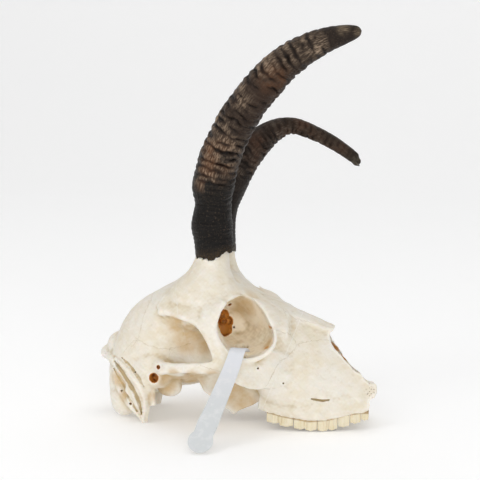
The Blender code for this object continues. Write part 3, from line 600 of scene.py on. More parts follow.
# torn edge of the nose as x and z, from the nasal bones down: right wall, then left wall
NOSE_EDGE_RIGHT = [
    (68.4, 80), (68.4, 69.5), (65.4, 65.6), (66, 61.2), (67.2, 57.5), (70, 54.4), (72.3, 52.4), (75.7, 48.9),
    (79.6, 44.9), (83.9, 40.5), (87.1, 39.3), (90.5, 34.9), (93.2, 33), (97.6, 32), (99.6, 29.7), (99.7, 27),
    (97.4, 23.5), (94.8, 21.6), (94.1, 15.6), (94.8, 8), (120, 8), (120, 80)]
NOSE_EDGE_LEFT = [
    (68.4, 78), (68.4, 67.5), (64.2, 61.8), (65.6, 57.2), (67.4, 54), (70.2, 51), (72, 48.4), (74.4, 44.6),
    (78, 40.2), (82, 35.8), (85.6, 33.8), (89.2, 29.6), (92.4, 27.4), (96.6, 26.2), (98.6, 24.2),
    (98.6, 22.4), (96.4, 19.4), (94, 17.4), (93.4, 10.8), (94.8, 6), (120, 6), (120, 78)]
EDGE_HALF = 16               # the two edges are read this far from the midline
CUT_REACH = 32               # the cut reaches this far to each side
EDGE_POINTS = 170
ROUGH_PART = slice(90, 150)  # the points of the edge that are torn most
FOREMOST = 99.5              # the bone ends here, mm


# %% The cutters
def nasal_cavity():
    return hull_along("nasal cavity", [
        (30, 62, 44, 27, 10, 2.0, 2.6), (42, 66, 40, 25, 16, 1.8, 3), (54, 66, 38, 24.5, 20, 1.6, 3.4),
        (66, 63, 36, 24.5, 19, 1.5, 3.4), (80, 58, 33, 25, 16.5, 1.5, 3.2), (94, 50, 31, 25.5, 13.5, 1.6, 3),
        (110, 44, 30, 26, 12, 1.8, 3)])


def broken_nose():
    """takes off all in front of the torn edge of the nose, which lies lower on the left side"""
    rng = np.random.default_rng(5)
    right, left = through(NOSE_EDGE_RIGHT, EDGE_POINTS), through(NOSE_EDGE_LEFT, EDGE_POINTS)
    sides = []
    for y in (-CUT_REACH, CUT_REACH):
        edge = (right + left) / 2 - (right - left) / 2 * y / EDGE_HALF
        waves = 0.22 * np.sin(np.arange(EDGE_POINTS) * 0.63 + y)[:, None] * (0.6, 0.5)
        tear = rng.normal(0, 0.12, edge.shape) + waves
        tear[ROUGH_PART] *= 1.8
        tear[:4], tear[ROUGH_PART.stop:] = 0, 0
        torn = edge + tear
        torn[:ROUGH_PART.stop, 0] = np.minimum(torn[:ROUGH_PART.stop, 0], FOREMOST)
        sides.append([(x, y, z) for x, z in torn])
    return prism("broken nose", *sides)


def midline_cutters():
    return [rod("foramen magnum", [(-105, 0, 15, 9.5), (-82, 0, 19, 9), (-66, 0, 25, 8), (-58, 0, 29, 4)],
                16, 32),
            hull_along("choanae", [(-8, 22, 16, 4, 7, 2, 2), (4, 30, 20, 4, 9.5, 2, 3),
                                   (18, 32, 22, 6, 9.5, 2, 3), (32, 34, 27, 20, 8, 2, 2)]),
            rod("palate notch", [(104, 0, 10, 11), (104, 0, 40, 11)], 2, 40),
            plate("below the table", [(-150, -60), (150, -60), (150, TABLE), (-150, TABLE)], -120, 120)]


def small_cutters(skin_tree):
    paired = [rod("nerve hole", [(*a, ra), (*b, rb)], 4, 14) for a, b, ra, rb, _ in NERVE_HOLES]
    paired += [blob("stained hollow", *ball) for ball in STAINED_HOLLOWS]
    paired += [bar("slit", SLIT, (0, 0, 1), 20, 12)]
    paired += [laid_bar(skin_tree, line, 2.4, 3.0, 1.7) for line in GUTTERS]
    return with_twins(paired)


# %% [markdown]
# ## The horns' path
#
# Each horn is a table of centres and radii, from foot to tip. The bone needs it too: the pedicle is
# cut to sit inside the horn's foot, half a millimetre clear of it.

# %% Centre and radius along each horn, mm
RIGHT_HORN = [(-15.2, -17, 121, 13.6), (-16.6, -17.2, 130, 13.6), (-17.6, -18, 139, 14.3),
              (-17, -19, 153, 12.5), (-17, -21, 166, 14.3), (-13, -24, 184, 13.9), (-7, -28, 199, 13.3),
              (0, -32, 212, 12.9), (7.5, -36, 223, 12.5), (17, -41, 235, 12.1), (29, -45, 247.5, 11.3),
              (43, -49, 257.5, 9.9), (56, -52, 264, 8.3), (68, -54, 268, 6.5), (76, -55.5, 270, 4.5),
              (80.5, -56, 271, 2.2)]
LEFT_HORN = [(-17, 17, 119.5, 12.6), (-17.8, 18, 133, 12.4), (-16.4, 20, 148, 12.2), (-10.4, 23, 164, 12.0),
             (-3.4, 26, 179, 11.8), (4, 29, 189.5, 11.0), (12.5, 32, 198, 9.4), (21.5, 34, 204, 7.5),
             (29, 36, 206.2, 6.2), (37, 38, 205.6, 5.6), (50, 40, 200.6, 5.1), (60, 42, 195.6, 4.9),
             (69, 43.5, 190, 4.5), (76, 44.5, 185, 4.0), (79.6, 45, 180.6, 2.2)]
FOOT_DISH = 4.0


# %% [markdown]
# ## The horns
#
# A ram's horn grows ring by ring, so its surface is rings all the way. The tube is lofted first and
# remembers, for each point, how far along it lies, which way round and in which ring. Geometry Nodes
# then raise the rings from these marks: narrow wavering grooves between broad crests.

# %% Small helpers for every node tree
def fill(node, inputs):
    """fill a node's inputs, in their order or by name, with values or links"""
    for key, value in inputs.items() if isinstance(inputs, dict) else enumerate(inputs):
        if isinstance(value, bpy.types.NodeSocket):
            node.id_data.links.new(value, node.inputs[key])
        else:
            node.inputs[key].default_value = value


def add(tree, kind, inputs=(), **settings):
    """add a node with its settings and inputs; the result is its first output, where it has one.
    A kind without a prefix is a shader's, and a math node's operation follows its kind after a space"""
    kind, *operation = kind.split()
    node = tree.nodes.new(kind if "Node" in kind else "ShaderNode" + kind)
    if operation:
        node.operation = operation[0]
    for key, value in settings.items():
        setattr(node, key, value)
    fill(node, inputs)
    return node.outputs[0] if len(node.outputs) else None


# %% The tube, with its marks
SEAT_ROOM = 0.5              # the pedicle stays this far from the horn round it, mm
SEAT_REACH = 0.2             # share of the horn's length that the seat takes in
ROUND_END = 2.2              # length of the rounded tip, mm
FRAYED_END = 9.0             # length of the ragged end, mm
RIM_REACH = 7.0              # height over which the torn lower rim runs out, mm
CURVE_POINTS = 900


def rim_drop(angle, side):
    """how far the torn lower rim hangs below the first ring"""
    torn = 0.35 * np.sin(13 * angle + 2 * side) + 0.3 * np.sin(23 * angle + side) + 0.2 * np.sin(41 * angle)
    return -2.5 - 1.6 * np.sin(2 * angle + side) - 0.9 * np.sin(5 * angle) + torn


def horn_tube(name, rows, side, step, sides, pitch, lee=1.0, grow=0.0, reach=1.0, fray=0.0):
    """closed horn; pitch gives the length of a ring (mm) near the foot and further out, and lee the
    share of the rings' height that is left on its rear and upper side; fray is how ragged its end is"""
    dense = through(rows, CURVE_POINTS)
    steps = np.linalg.norm(np.diff(dense[:, :3], axis=0), axis=1)
    along = np.concatenate([[0], np.cumsum(steps)])
    length = along[-1]
    places = np.linspace(0, length * reach, int(length * reach / step))
    ring_length = np.interp(places / length, [0, 0.12, 0.35, 1], [pitch[0], pitch[0], pitch[1], pitch[1]])
    phase = np.concatenate([[0], np.cumsum(np.diff(places) / ring_length[1:])])
    around = 2 * math.pi * np.arange(sides) / sides

    def spot(place):
        return np.array([np.interp(place, along, dense[:, c]) for c in range(4)])

    rings, marks = [], []
    for k, place in enumerate(places):
        centre = spot(place)
        run = unit((spot(place + 2) - spot(place - 2))[:3])
        out = unit(np.cross(run, (0, 1, 0)))
        wide = np.cross(run, out)
        tip = max(0.0, (place - length * reach + ROUND_END) / ROUND_END)
        round_end = math.sqrt(max(0.0, 1 - tip ** 2)) if reach == 1 else 1
        r = (centre[3] + grow) * max(0.05, round_end)
        ring = centre[:3] + np.outer(r * np.cos(around), out) + np.outer(0.94 * r * np.sin(around), wide)
        if fray:
            close = max(0.0, 1 - (length - place) / FRAYED_END)
            torn = np.sin(3 * around + 1.2) + 0.6 * np.sin(7 * around) - 0.8 * np.cos(around)
            ring += np.outer(fray * close * torn, run)
            ring += (ring - centre[:3]) * (0.16 * close * np.sin(5 * around + place * 1.1))[:, None]
        sag = max(0.0, 1 - place / RIM_REACH) ** 1.5
        ring[:, 2] += sag * (rim_drop(around, side) - grow)
        rings.append(ring)
        # the rings are low near the foot, and run out towards the tip
        calm = 0.35 + 0.65 * min(1.0, max(0.0, (place - 30) / 40)) ** 1.5
        marks.append((place, phase[k], calm * min(1.0, max(0.0, (1 - place / length - 0.03) / 0.22))))
    # the foot is dished, so that it sits over the pedicle
    foot = rings[0].mean(axis=0)
    inner = [foot + (rings[0] - foot) * s + np.array([0, 0, lift - grow])
             for s, lift in ((0.55, FOOT_DISH), (0.8, 2.6), (0.93, 0.7))]
    rings = inner + rings
    marks = [marks[0]] * len(inner) + marks
    thing = skin(name, rings)
    for column, mark in enumerate(("along", "phase", "fade")):
        weight = lee + (1 - lee) * (0.5 - 0.5 * np.cos(around)) if mark == "fade" else np.ones(sides)
        values = np.outer([m[column] for m in marks], weight).ravel()
        set_mark(thing.data, mark, np.append(values, [marks[0][column], marks[-1][column]]))
    way = np.column_stack([np.cos(around), np.sin(around), np.zeros(sides)])
    way = np.vstack([np.tile(way, (len(rings), 1)), np.zeros((2, 3))])
    thing.data.attributes.new("round", "FLOAT_VECTOR", "POINT").data.foreach_set("vector", way.ravel())
    return thing


# %% Geometry Nodes for the rings
RING_INPUTS = {"Ring height": 0.0011, "Waver": 0.9, "Fine height": 0.00015, "Swelling": 0.0012, "Seed": 1.0}


def ring_nodes():
    """node group that raises the rings of a horn from the marks on its tube"""
    tree = bpy.data.node_groups.new("Horn rings", "GeometryNodeTree")
    face = tree.interface
    face.new_socket("Geometry", in_out="INPUT", socket_type="NodeSocketGeometry")
    for label, value in RING_INPUTS.items():
        face.new_socket(label, in_out="INPUT", socket_type="NodeSocketFloat").default_value = value
    face.new_socket("Material", in_out="INPUT", socket_type="NodeSocketMaterial")
    face.new_socket("Geometry", in_out="OUTPUT", socket_type="NodeSocketGeometry")
    source = add(tree, "NodeGroupInput").node.outputs
    along, phase, fade, around = (
        add(tree, "GeometryNodeInputNamedAttribute", {"Name": label},
            data_type=kind).node.outputs["Attribute"]
        for label, kind in (("along", "FLOAT"), ("phase", "FLOAT"), ("fade", "FLOAT"),
                            ("round", "FLOAT_VECTOR")))
    # three noises that run round the horn: the sway of the rings, their strength, and slow swellings
    noises = []
    for rise, step, scale in ((along, 0.045, 1.5), (phase, 0.62, 1.25), (along, 0.07, 1.4)):
        climb = add(tree, "Math MULTIPLY", (rise, step))
        lift = add(tree, "CombineXYZ", {"Z": climb})
        spot = add(tree, "VectorMath ADD", (around, lift))
        found = add(tree, "TexNoise", {"Vector": spot, "W": source["Seed"], "Scale": scale, "Detail": 2.0},
                    noise_dimensions="4D")
        noises.append(add(tree, "Math SUBTRACT", (found, 0.5)))
    sway, strength, swell = noises
    shifted = add(tree, "Math MULTIPLY_ADD", (sway, source["Waver"], phase))
    half_turns = add(tree, "Math MULTIPLY", (shifted, math.pi))
    swing = add(tree, "Math SINE", (half_turns,))
    level = add(tree, "Math ABSOLUTE", (swing,))
    crest = add(tree, "Math POWER", (level, 0.9))
    # every ring has its own strength, and it changes on the way round
    share = add(tree, "MapRange", (strength, -0.13, 0.13, 0.08, 1.25))
    sunk = add(tree, "Math SUBTRACT", (crest, 1.0))
    shown = add(tree, "Math MULTIPLY_ADD", (sunk, share, 1.0))
    raised = add(tree, "Math SUBTRACT", (shown, 0.8))
    tall = add(tree, "Math MULTIPLY", (raised, source["Ring height"]))
    lumps = add(tree, "Math MULTIPLY_ADD", (swell, source["Swelling"], tall))
    fine_turns = add(tree, "Math MULTIPLY", (half_turns, 4.0))
    fine_turns = add(tree, "Math MULTIPLY_ADD", (sway, 14.0, fine_turns))
    fine = add(tree, "Math SINE", (fine_turns,))
    height = add(tree, "Math MULTIPLY_ADD", (fine, source["Fine height"], lumps))
    height = add(tree, "Math MULTIPLY", (height, fade))
    push = add(tree, "VectorMath SCALE", {0: add(tree, "GeometryNodeInputNormal"), "Scale": height})
    marked = add(tree, "GeometryNodeStoreNamedAttribute",
                 {"Geometry": source["Geometry"], "Name": "crest", "Value": shown},
                 data_type="FLOAT", domain="POINT")
    moved = add(tree, "GeometryNodeSetPosition", {"Geometry": marked, "Offset": push})
    real = add(tree, "GeometryNodeRealizeInstances", {"Geometry": moved})
    dressed = add(tree, "GeometryNodeSetMaterial", {"Geometry": real, "Material": source["Material"]})
    add(tree, "NodeGroupOutput", {"Geometry": dressed})
    return tree


def ringed(thing, tree, finish, **values):
    """put the rings on a tube and bake them; values are the group's inputs by name"""
    step = thing.modifiers.new("rings", "NODES")
    step.node_group = tree
    names = {item.name: item.identifier for item in tree.interface.items_tree if item.in_out == "INPUT"}
    for label, value in values.items():
        step[names[label.replace("_", " ")]] = value
    step[names["Material"]] = finish
    return settled(thing)


# %% Finishes by name; a later step fills them in
FINISHES = {name: bpy.data.materials.new(name) for name in
            ("weathered bone", "tooth enamel", "dark horn sheath", "brown horn sheath", "frosted plastic")}
for finish in FINISHES.values():
    finish.use_nodes = True


# %% Both horns, ringed
rings_tree = ring_nodes()
right_horn = horn_tube("right_sheath", RIGHT_HORN, -1, 0.6, 190, (3.0, 5.6), 0.8)
right_horn = ringed(right_horn, rings_tree, FINISHES["dark horn sheath"], Ring_height=0.0017, Waver=1.5,
                    Swelling=0.003, Seed=3.0)
left_horn = horn_tube("left_sheath", LEFT_HORN, 1, 0.6, 150, (3.0, 4.6), 0.2, fray=1.7)
left_horn = ringed(left_horn, rings_tree, FINISHES["brown horn sheath"], Ring_height=0.0013, Waver=1.4,
                   Swelling=0.0015, Seed=8.0)


# %% Worn places that also carry a painted highlight on the lit side, reddish and pale places on the horns, mm
def mark_horn(mesh, warm, wear_and_highlight, tip):
    points = read_points(mesh)
    for name, balls in (("warm", warm), ("wear_and_highlight", wear_and_highlight), ("tip", tip)):
        near = np.zeros(len(points))
        for centre, radius in balls:
            near = np.maximum(near, np.exp(-0.8 * (np.linalg.norm(points - centre, axis=1) / radius) ** 3))
        set_mark(mesh, name, near)


# the worn balls sit on the lit upper side of the horns: their pale crests are partly wear and partly a
# painted highlight
mark_horn(right_horn.data, [((-18, -36, 186), 15), ((-20, -30, 170), 7), ((26, -54, 238), 10)],
          [((-15, -38, 189), 16), ((-12, -36, 208), 11), ((2, -42, 228), 9), ((20, -50, 248), 9),
           ((-20, -34, 174), 9), ((35, -53, 256), 9), ((50, -56, 262), 8)],
          [((78.6, -59, 270), 2.8), ((69, -58, 272), 4)])
mark_horn(left_horn.data, [((0, 20, 186), 14), ((8, 24, 194), 10), ((40, 34, 203), 16), ((62, 38, 194), 10)],
          [((30, 30, 200), 22), ((55, 38, 192), 16), ((0, 14, 180), 16)], [((79, 42, 181), 4)])
print("horns", len(right_horn.data.polygons), len(left_horn.data.polygons), "faces")


# %% The whole bone, still in one
bone = broad_masses()
large = [nasal_cavity()] + with_twins([orbit_cutter()])
for name, ball in SIDE_HOLLOWS.items():
    large += with_twins([blob(name, *ball)])
with_pieces(bone, large)
bone = fused("bone", [bone] + middle_parts(), MIDDLE_VOXEL, MIDDLE_ROUNDS)
with_pieces(bone, with_twins([orbit_cutter()]))
smooth_skin = surface(bone)
bone = fused("bone", [bone] + sharp_parts(smooth_skin), FINE_VOXEL, FINE_ROUNDS)
print("bone skin", len(bone.data.polygons), "faces")
seats = [horn_tube("seat", rows, side, 1.2, 96, (3, 5), grow=SEAT_ROOM, reach=SEAT_REACH)
         for rows, side in ((RIGHT_HORN, -1), (LEFT_HORN, 1))]
with_pieces(bone, midline_cutters() + [broken_nose()] + small_cutters(smooth_skin) + seats)
with_pieces(bone, with_twins([blob("scroll", *ball) for ball in SCROLLS]), "UNION")
print("bone cut", len(bone.data.polygons), "faces")


# %% [markdown]
# ## Parting the bone
#
# The solid model has the bone in four nodes: braincase, the two halves of the forehead, and muzzle.
# Here the forehead is one piece, so that no line shows down its middle. The bone is made uneven first,
# while it is still in one, so that the skins of two neighbours meet without a step. The cuts are a
# hundredth of a millimetre wide and don't show.

# %% The three bone pieces
REAR_CUT = ((-20, -5), (-47, 130))       # two points of x and z, behind the pedicles
FRONT_CUT = ((14, -5), (54, 100))        # in front of the orbits, behind the molars
CUT_WIDTH = 0.01
CUT_HALF = 90                            # the cuts reach past both sides of the bone


def slab(name, corners):
    """thin upright cut across the skull through two points of x and z"""
    a, b = np.array(corners, float)
    run = unit(b - a)
    half = np.array([-run[1], run[0]]) * CUT_WIDTH / 2
    return plate(name, [tuple(a - half), tuple(b - half), tuple(b + half), tuple(a + half)], -CUT_HALF,
                 CUT_HALF)


def side_of(points, cut):
    """which side of a cut each point lies on; above zero is towards the nose"""
    (ax, az), (bx, bz) = cut
    return (points[:, 0] - ax) * (bz - az) - (points[:, 2] - az) * (bx - ax)


def parted(whole):
    """braincase, forehead and muzzle, each a closed piece"""
    with_pieces(whole, [slab("rear cut", REAR_CUT), slab("front cut", FRONT_CUT)])
    points = read_points(whole.data)
    zone = {"braincase": side_of(points, REAR_CUT) < 0, "muzzle": side_of(points, FRONT_CUT) > 0}
    zone["forehead"] = ~zone["braincase"] & ~zone["muzzle"]
    found = {}
    for name in ("braincase", "forehead", "muzzle"):
        work = bmesh.new()
        work.from_mesh(whole.data)
        work.verts.ensure_lookup_table()
        bmesh.ops.delete(work, geom=[work.verts[i] for i in np.flatnonzero(~zone[name])], context="VERTS")
        found[name] = object_of(name + "_bone", work)
    bpy.data.objects.remove(whole, do_unlink=True)
    return found


# %% [markdown]
# ## Marks on the bone
#
# The finish needs to know where it is. Each point of the skin gets a few numbers: how hollow the
# skin is there, which sets painted shade in creases and broad hollows, how far it is from the nearest
# seam between two bones, and whether it lies in one of the places of tan stain or painted shade, or in
# one of the open or porous places. The seams run along the real borders of a sheep's skull bones.

# %% Seams, places with a colour of their own, and places of painted shade: left side, mm
SEAMS = [
    [(-59, 0, 87), (-59.5, 8, 86), (-60.3, 15.7, 83), (-63.1, 22.9, 74.2), (-65.3, 29, 61.6),
     (-70.7, 29.2, 52.6)],
    [(-76.1, 26.9, 49.1), (-67.3, 29.2, 58.4), (-58.3, 32.2, 55.6), (-49.9, 32.5, 53.9), (-43.2, 31.2, 54.3),
     (-35.2, 29.1, 55.7), (-29.9, 27.7, 57.7)],
    [(-43.2, 31.2, 54.3), (-43.2, 32.7, 47.2)],
    [(-59, 0, 87), (-46, 0, 96), (-34, 0, 104.5), (-22, 0, 109), (-10, 0, 107), (4, 0, 99), (16, 0, 88)],
    [(16, 0, 88), (22, 8, 86), (30, 13, 82), (33, 15.5, 79)],
    [(16, 0, 88), (30, 0, 82), (46, 0, 76), (60, 0, 71), (69, 0, 67)],
    [(33, 15.5, 79), (42, 15, 76.5), (50, 13, 74), (58, 9, 71), (65, 6, 68)],
    [(29.8, 37.2, 71.3), (34, 31, 69), (38.6, 25.7, 65.3), (43, 26.1, 58.7), (38.1, 32.4, 52.8),
     (33, 40, 50.5)],
    [(33, 15.5, 79), (34, 22, 74), (38.6, 25.7, 65.3)],
    [(43, 26.1, 60), (53.5, 18.6, 60.4), (65, 11, 60)],
    [(21.5, 39.5, 34.9), (27, 43, 39), (30.5, 44.4, 44), (33, 40, 50.5)],
    [(-19, 56, 49), (-14, 57, 47.2), (-8, 57, 45.6), (-2, 57, 43.6)],
    [(-81, 24, 43), (-75, 30, 36), (-70, 33, 29), (-66, 35, 22), (-62, 34, 14)]]
# tan stains in the temporal hollow and behind the ear, and painted shade on the lower edge of the cheek
# arches, under them and the skull's base, in the orbit roofs and behind the teeth
STAINS_AND_SHADE = [
    ((-25, 43, 69), 6), ((-20, 47, 64), 6), ((-17, 49, 58), 5), ((-20, 36, 63), 8), ((-20, 25, 56), 7),
    ((-38, 36, 75), 5), ((-41, 32, 32), 5), ((-50, 24, 22), 6), ((-2, 15, 24), 11), ((8, 15, 14), 9),
    ((7, 16, 84), 9), ((2, 14, 78), 6), ((-24, 32, 62), 10), ((24, 36, 62), 5), ((-30, 16, 28), 9),
    ((-80, 24, 30), 6), ((-74, 27, 18), 5), ((-56, 31, 20), 4), ((14, 34, 30), 6), ((-44, 34, 34), 8),
    ((-33, 28, 33), 9), ((-46, 26, 27), 7), ((-38, 31, 71), 7), ((-30, 33, 68), 7), ((-31, 29, 60), 10),
    ((-10, 55, 41.6), 5), ((-24, 54, 41), 4.5), ((-37, 49, 40), 4.5)]
BLUSH = [((4, 12, 68), 20), ((14, 20, 76), 14), ((16, 34, 58), 10), ((-2, 24, 84), 9)]
OPEN_TISSUE = [((24, 31, 71.4), 2.4), ((23, 38, 60), 2.6)]
INNER_TISSUE = [((68, 15, 52), 6.5), ((76, 14, 44), 4)]      # only on the skin that faces the midline
POROUS = [((-23, 45, 68), 6), ((-19, 48, 61), 6), ((95, 18, 27), 4), ((-90, 8, 43), 4)]


# %% How far a point is from the seams, how hollow its skin is, and which places it lies in
def seam_points(skin_tree):
    """points and directions along all seams, every 0.35 mm, laid on the skin"""
    spots, runs = [], []
    for rows in SEAMS:
        length = np.linalg.norm(np.diff(rows, axis=0), axis=1).sum()
        for flip in (1, -1):
            line = through(rows, int(length / 0.35)) * (1, flip, 1)
            laid = np.array([skin_tree.find_nearest(Vector(p * MM))[0] for p in line]) / MM
            spots.append(laid)
            runs.append(np.gradient(laid, axis=0))
    return np.vstack(spots), np.vstack(runs)


def seam_distance(points, normals, spots, runs, reach=4.0):
    """distance to the nearest seam, mm, with a sign for the side"""
    index = KDTree(len(spots))
    for k, spot in enumerate(spots):
        index.insert(spot, k)
    index.balance()
    found = [index.find(p) for p in points]
    nearest = np.array([f[1] for f in found])
    gap = np.minimum([f[2] for f in found], reach)
    side = np.einsum("ij,ij->i", np.cross(runs[nearest], normals), points - spots[nearest])
    return np.where(side < 0, -gap, gap)


def hollowness(mesh, rounds):
    """how far the skin lies below (+) or above (-) its smoothed self, mm"""
    ends = np.empty(len(mesh.edges) * 2, int)
    mesh.edges.foreach_get("vertices", ends)
    a, b = ends[0::2], ends[1::2]
    points = read_points(mesh)
    n = len(points)
    share = np.maximum(np.bincount(a, minlength=n) + np.bincount(b, minlength=n), 1)
    soft = points.copy()
    for _ in range(rounds):
        soft = np.column_stack([(np.bincount(a, soft[b, c], n) + np.bincount(b, soft[a, c], n)) / share
                                for c in range(3)])
    return ((soft - points) * read_normals(mesh)).sum(axis=1)


def folded(points):
    """points of both sides, laid on the left one"""
    return np.column_stack([points[:, 0], np.abs(points[:, 1]), points[:, 2]])


def inside_balls(points, balls):
    """1 well inside any ball of the list, 0 outside, soft at the edge; both sides of the skull"""
    near = np.zeros(len(points))
    for centre, radius in balls:
        gap = np.linalg.norm(folded(points) - centre, axis=1) / radius
        near = np.maximum(near, np.exp(-0.8 * gap ** 4))
    return near


def inside_holes(points):
    """1 on the walls of the stained hollows and, more weakly, of the nerve holes; both sides"""
    both = folded(points)
    near = np.zeros(len(points))
    for centre, radii in STAINED_HOLLOWS:
        gap = np.linalg.norm((both - centre) / radii, axis=1)
        near = np.maximum(near, np.clip((1.10 - gap) / 0.06, 0, 1))
    for start, end, radius_a, radius_b, orange in NERVE_HOLES:
        run = np.subtract(end, start)
        t = (both - start) @ run / (run @ run)
        gap = np.linalg.norm(both - start - np.clip(t, 0, 1)[:, None] * run, axis=1)
        wall = radius_a + (radius_b - radius_a) * np.clip(t, 0, 1) + 0.35
        near = np.maximum(near, orange * np.clip((wall - gap) / 0.25, 0, 1) * (t < 1.15))
    return near


def mark_bone(mesh, spots, runs):
    points, normals = read_points(mesh), read_normals(mesh)
    set_mark(mesh, "seam", seam_distance(points, normals, spots, runs))
    set_mark(mesh, "hollow", hollowness(mesh, 10))
    # the broad hollowness sets painted shade in the bone's finish
    set_mark(mesh, "valley_shade", hollowness(mesh, 70))
    set_mark(mesh, "stain_and_shade", inside_balls(points, STAINS_AND_SHADE))
    inward = points[:, 1] * normals[:, 1] < 0
    tissue = np.maximum(inside_balls(points, OPEN_TISSUE), inside_balls(points, INNER_TISSUE) * inward) * 0.75
    set_mark(mesh, "tissue", np.maximum(tissue, inside_holes(points)))
    set_mark(mesh, "blush", inside_balls(points, BLUSH))
    set_mark(mesh, "porous", inside_balls(points, POROUS))


# %% Roughen, part and mark the bone
uneven(bone, [(9.0, 0.16), (3.2, 0.07)])
spots, runs = seam_points(surface(bone))
bones = parted(bone)
for name, piece in bones.items():
    mark_bone(piece.data, spots, runs)
    print(name, len(piece.data.polygons), "faces")


# %% [markdown]
# ## The teeth
#
# A sheep's upper cheek teeth are built of lobes: two for each molar, one for each premolar. The cheek
# side of every lobe is a shallow gutter between two upright ribs, and the tongue side is round. Each
# tooth is one loft from root to chewing face, and the chewing face is worn into ridges and hollows.

# %% Teeth from the rear: for each lobe its length and the height of its cusp, mm
TOOTH_ROW_REAR = 24.4
TOOTH_GAP = 0.2
ROOT_TOP = 18.0
GUM_LINE = [(24, 13.4), (36, 11.2), (54, 8.6), (68, 9.8), (78, 12.4), (90, 13.6)]      # x and height
# x, outer and inner half width of the row
ROW_SIDES = [(24, 29.2, 20.2), (33, 30.6, 19.6), (45, 31.2, 18.8), (55, 30.4, 18.3), (64, 28.4, 17.2),
             (72, 25.4, 15.4), (80, 22.2, 14.0), (88, 19.4, 13.0)]
TEETH = [[(9.1, 4.2), (9.6, 2.6)], [(8.1, 1.2), (7.8, 0.3)], [(6.9, 0.0), (6.7, 0.6)],
         [(7.8, 2.4)], [(7.5, 4.6)], [(5.1, 6.8)]]
LOBE_STEPS = 22
CROWN_RINGS = 22
FACE_RINGS = (0.93, 0.86, 0.78, 0.70, 0.61, 0.52, 0.43, 0.34, 0.24, 0.12)      # drawn together by these
FACE_TURN = 1.9              # turn of the wave of ridges from one ring of the chewing face to the next


def gum_height(x):
    return np.interp(x, *zip(*GUM_LINE))


def lobed_outline(lobes, x_rear):
    """outline of one tooth seen from below: x, y and height of the chewing edge"""
    outer, inner = [], []
    x = x_rear
    at, out_side, in_side = zip(*ROW_SIDES)
    for length, cusp in lobes:
        for s in range(LOBE_STEPS):
            t = (s + 0.5) / LOBE_STEPS
            out, inside = np.interp(x + length * t, at, out_side), np.interp(x + length * t, at, in_side)
            style = math.exp(-((t - 0.03) / 0.05) ** 2) + math.exp(-((t - 0.97) / 0.05) ** 2)
            rib = 0.45 * math.exp(-((t - 0.5) / 0.13) ** 2)
            drop = cusp + 0.9 * abs(2 * t - 1) ** 1.2
            outer.append((x + length * t, out - 0.8 + 0.8 * style + rib, drop))
            bulge = math.sqrt(max(0.0, 1 - abs(2 * t - 1) ** 2.4))
            inner.append((x + length * t, inside + 2.6 * (1 - bulge), drop + 0.5))
        x += length
    return np.array(outer + inner[::-1]), x


def tooth(lobes, x_rear):
    """left tooth: rings down the crown, then rings drawn together over the chewing face"""
    outline, x_front = lobed_outline(lobes, x_rear)
    middle = np.array([(x_rear + x_front) / 2, outline[:, 1].mean()])
    flat = outline[:, :2] - middle
    rings = []
    for t in np.linspace(0, 1, CROWN_RINGS):
        z = ROOT_TOP * (1 - t) + (outline[:, 2] + 0.5) * t
        # the root is drawn in above the gum line, and neighbours touch along the crown
        root = np.clip((z - gum_height(outline[:, 0]) - 0.2) / 1.6, 0, 1)
        spread = 1 + (0.15 - 0.25 * t ** 8) / ((x_front - x_rear) / 2)
        ring = middle + flat * (spread, 1.0 - 0.04 * t ** 6)
        ring[:, 1] -= 1.5 * root * np.sign(flat[:, 1])
        rings.append(np.column_stack([ring, z]))
    for k, scale in enumerate(FACE_RINGS):
        face = middle + flat * scale
        ridge = 0.55 * math.cos(k * FACE_TURN) + 0.35 * np.sin(face[:, 0] * 1.3 + k)
        hollow = 0.9 * (1 - scale) ** 0.5
        rings.append(np.column_stack([face, outline[:, 2] + hollow + 0.5 * ridge * (k > 0)]))
    piece = skin("tooth", rings)
    # the chewing face is dark where it is worn through the enamel, between the ridges
    wear = 0.5 + 0.5 * np.cos(np.arange(len(FACE_RINGS)) * FACE_TURN + 2.4)
    wear_and_highlight = np.concatenate([np.zeros(CROWN_RINGS), wear]).repeat(len(outline))
    set_mark(piece.data, "chewing", np.append(wear_and_highlight, (0, 0)))
    return piece, x_front


# %% Both rows
row, x = [], TOOTH_ROW_REAR
for lobes in TEETH:
    piece, x = tooth(lobes, x)
    row.append(piece)
    x += TOOTH_GAP
left_teeth = joined("left_teeth", row)
tooth_points = read_points(left_teeth.data)
set_mark(left_teeth.data, "hollow", hollowness(left_teeth.data, 6))
above_gum = tooth_points[:, 2] - gum_height(tooth_points[:, 0])
set_mark(left_teeth.data, "neck", np.clip((above_gum + 2.3) / 0.9, 0, 1))
right_teeth = twin(left_teeth)
right_teeth.name = "right_teeth"
print("teeth", len(left_teeth.data.polygons), "faces a side")


# %% [markdown]
# ## The strip
#
# A thin strip of plastic is pushed over the lower rim of the right eye socket and hangs down. Its
# lower end is widened and round. It is one loft of a rounded cross-section along the bent path.

# %% The bent strip
# x, distance to the right of the midline, z and half width
TAG_PATH = [(8.4, 45.0, 57.4, 5.0), (7.6, 49.0, 59.6, 5.1), (6.6, 53.2, 60.6, 5.1), (5.6, 56.4, 58.8, 5.2),
            (4.6, 58.6, 55.0, 5.3), (2.2, 63.0, 47.2, 5.5), (-1.0, 68.4, 38.4, 5.8), (-5.4, 76.4, 26.6, 6.2),
            (-9.4, 84.6, 16.4, 6.9)]
TAG_END = (-12.6, 92.8, 7.6)
TAG_THICK = 1.0
TAG_PADDLE = 8.3             # radius of its round end
PADDLE_TURN = (-38, 89)      # the round end is read between these angles, degrees


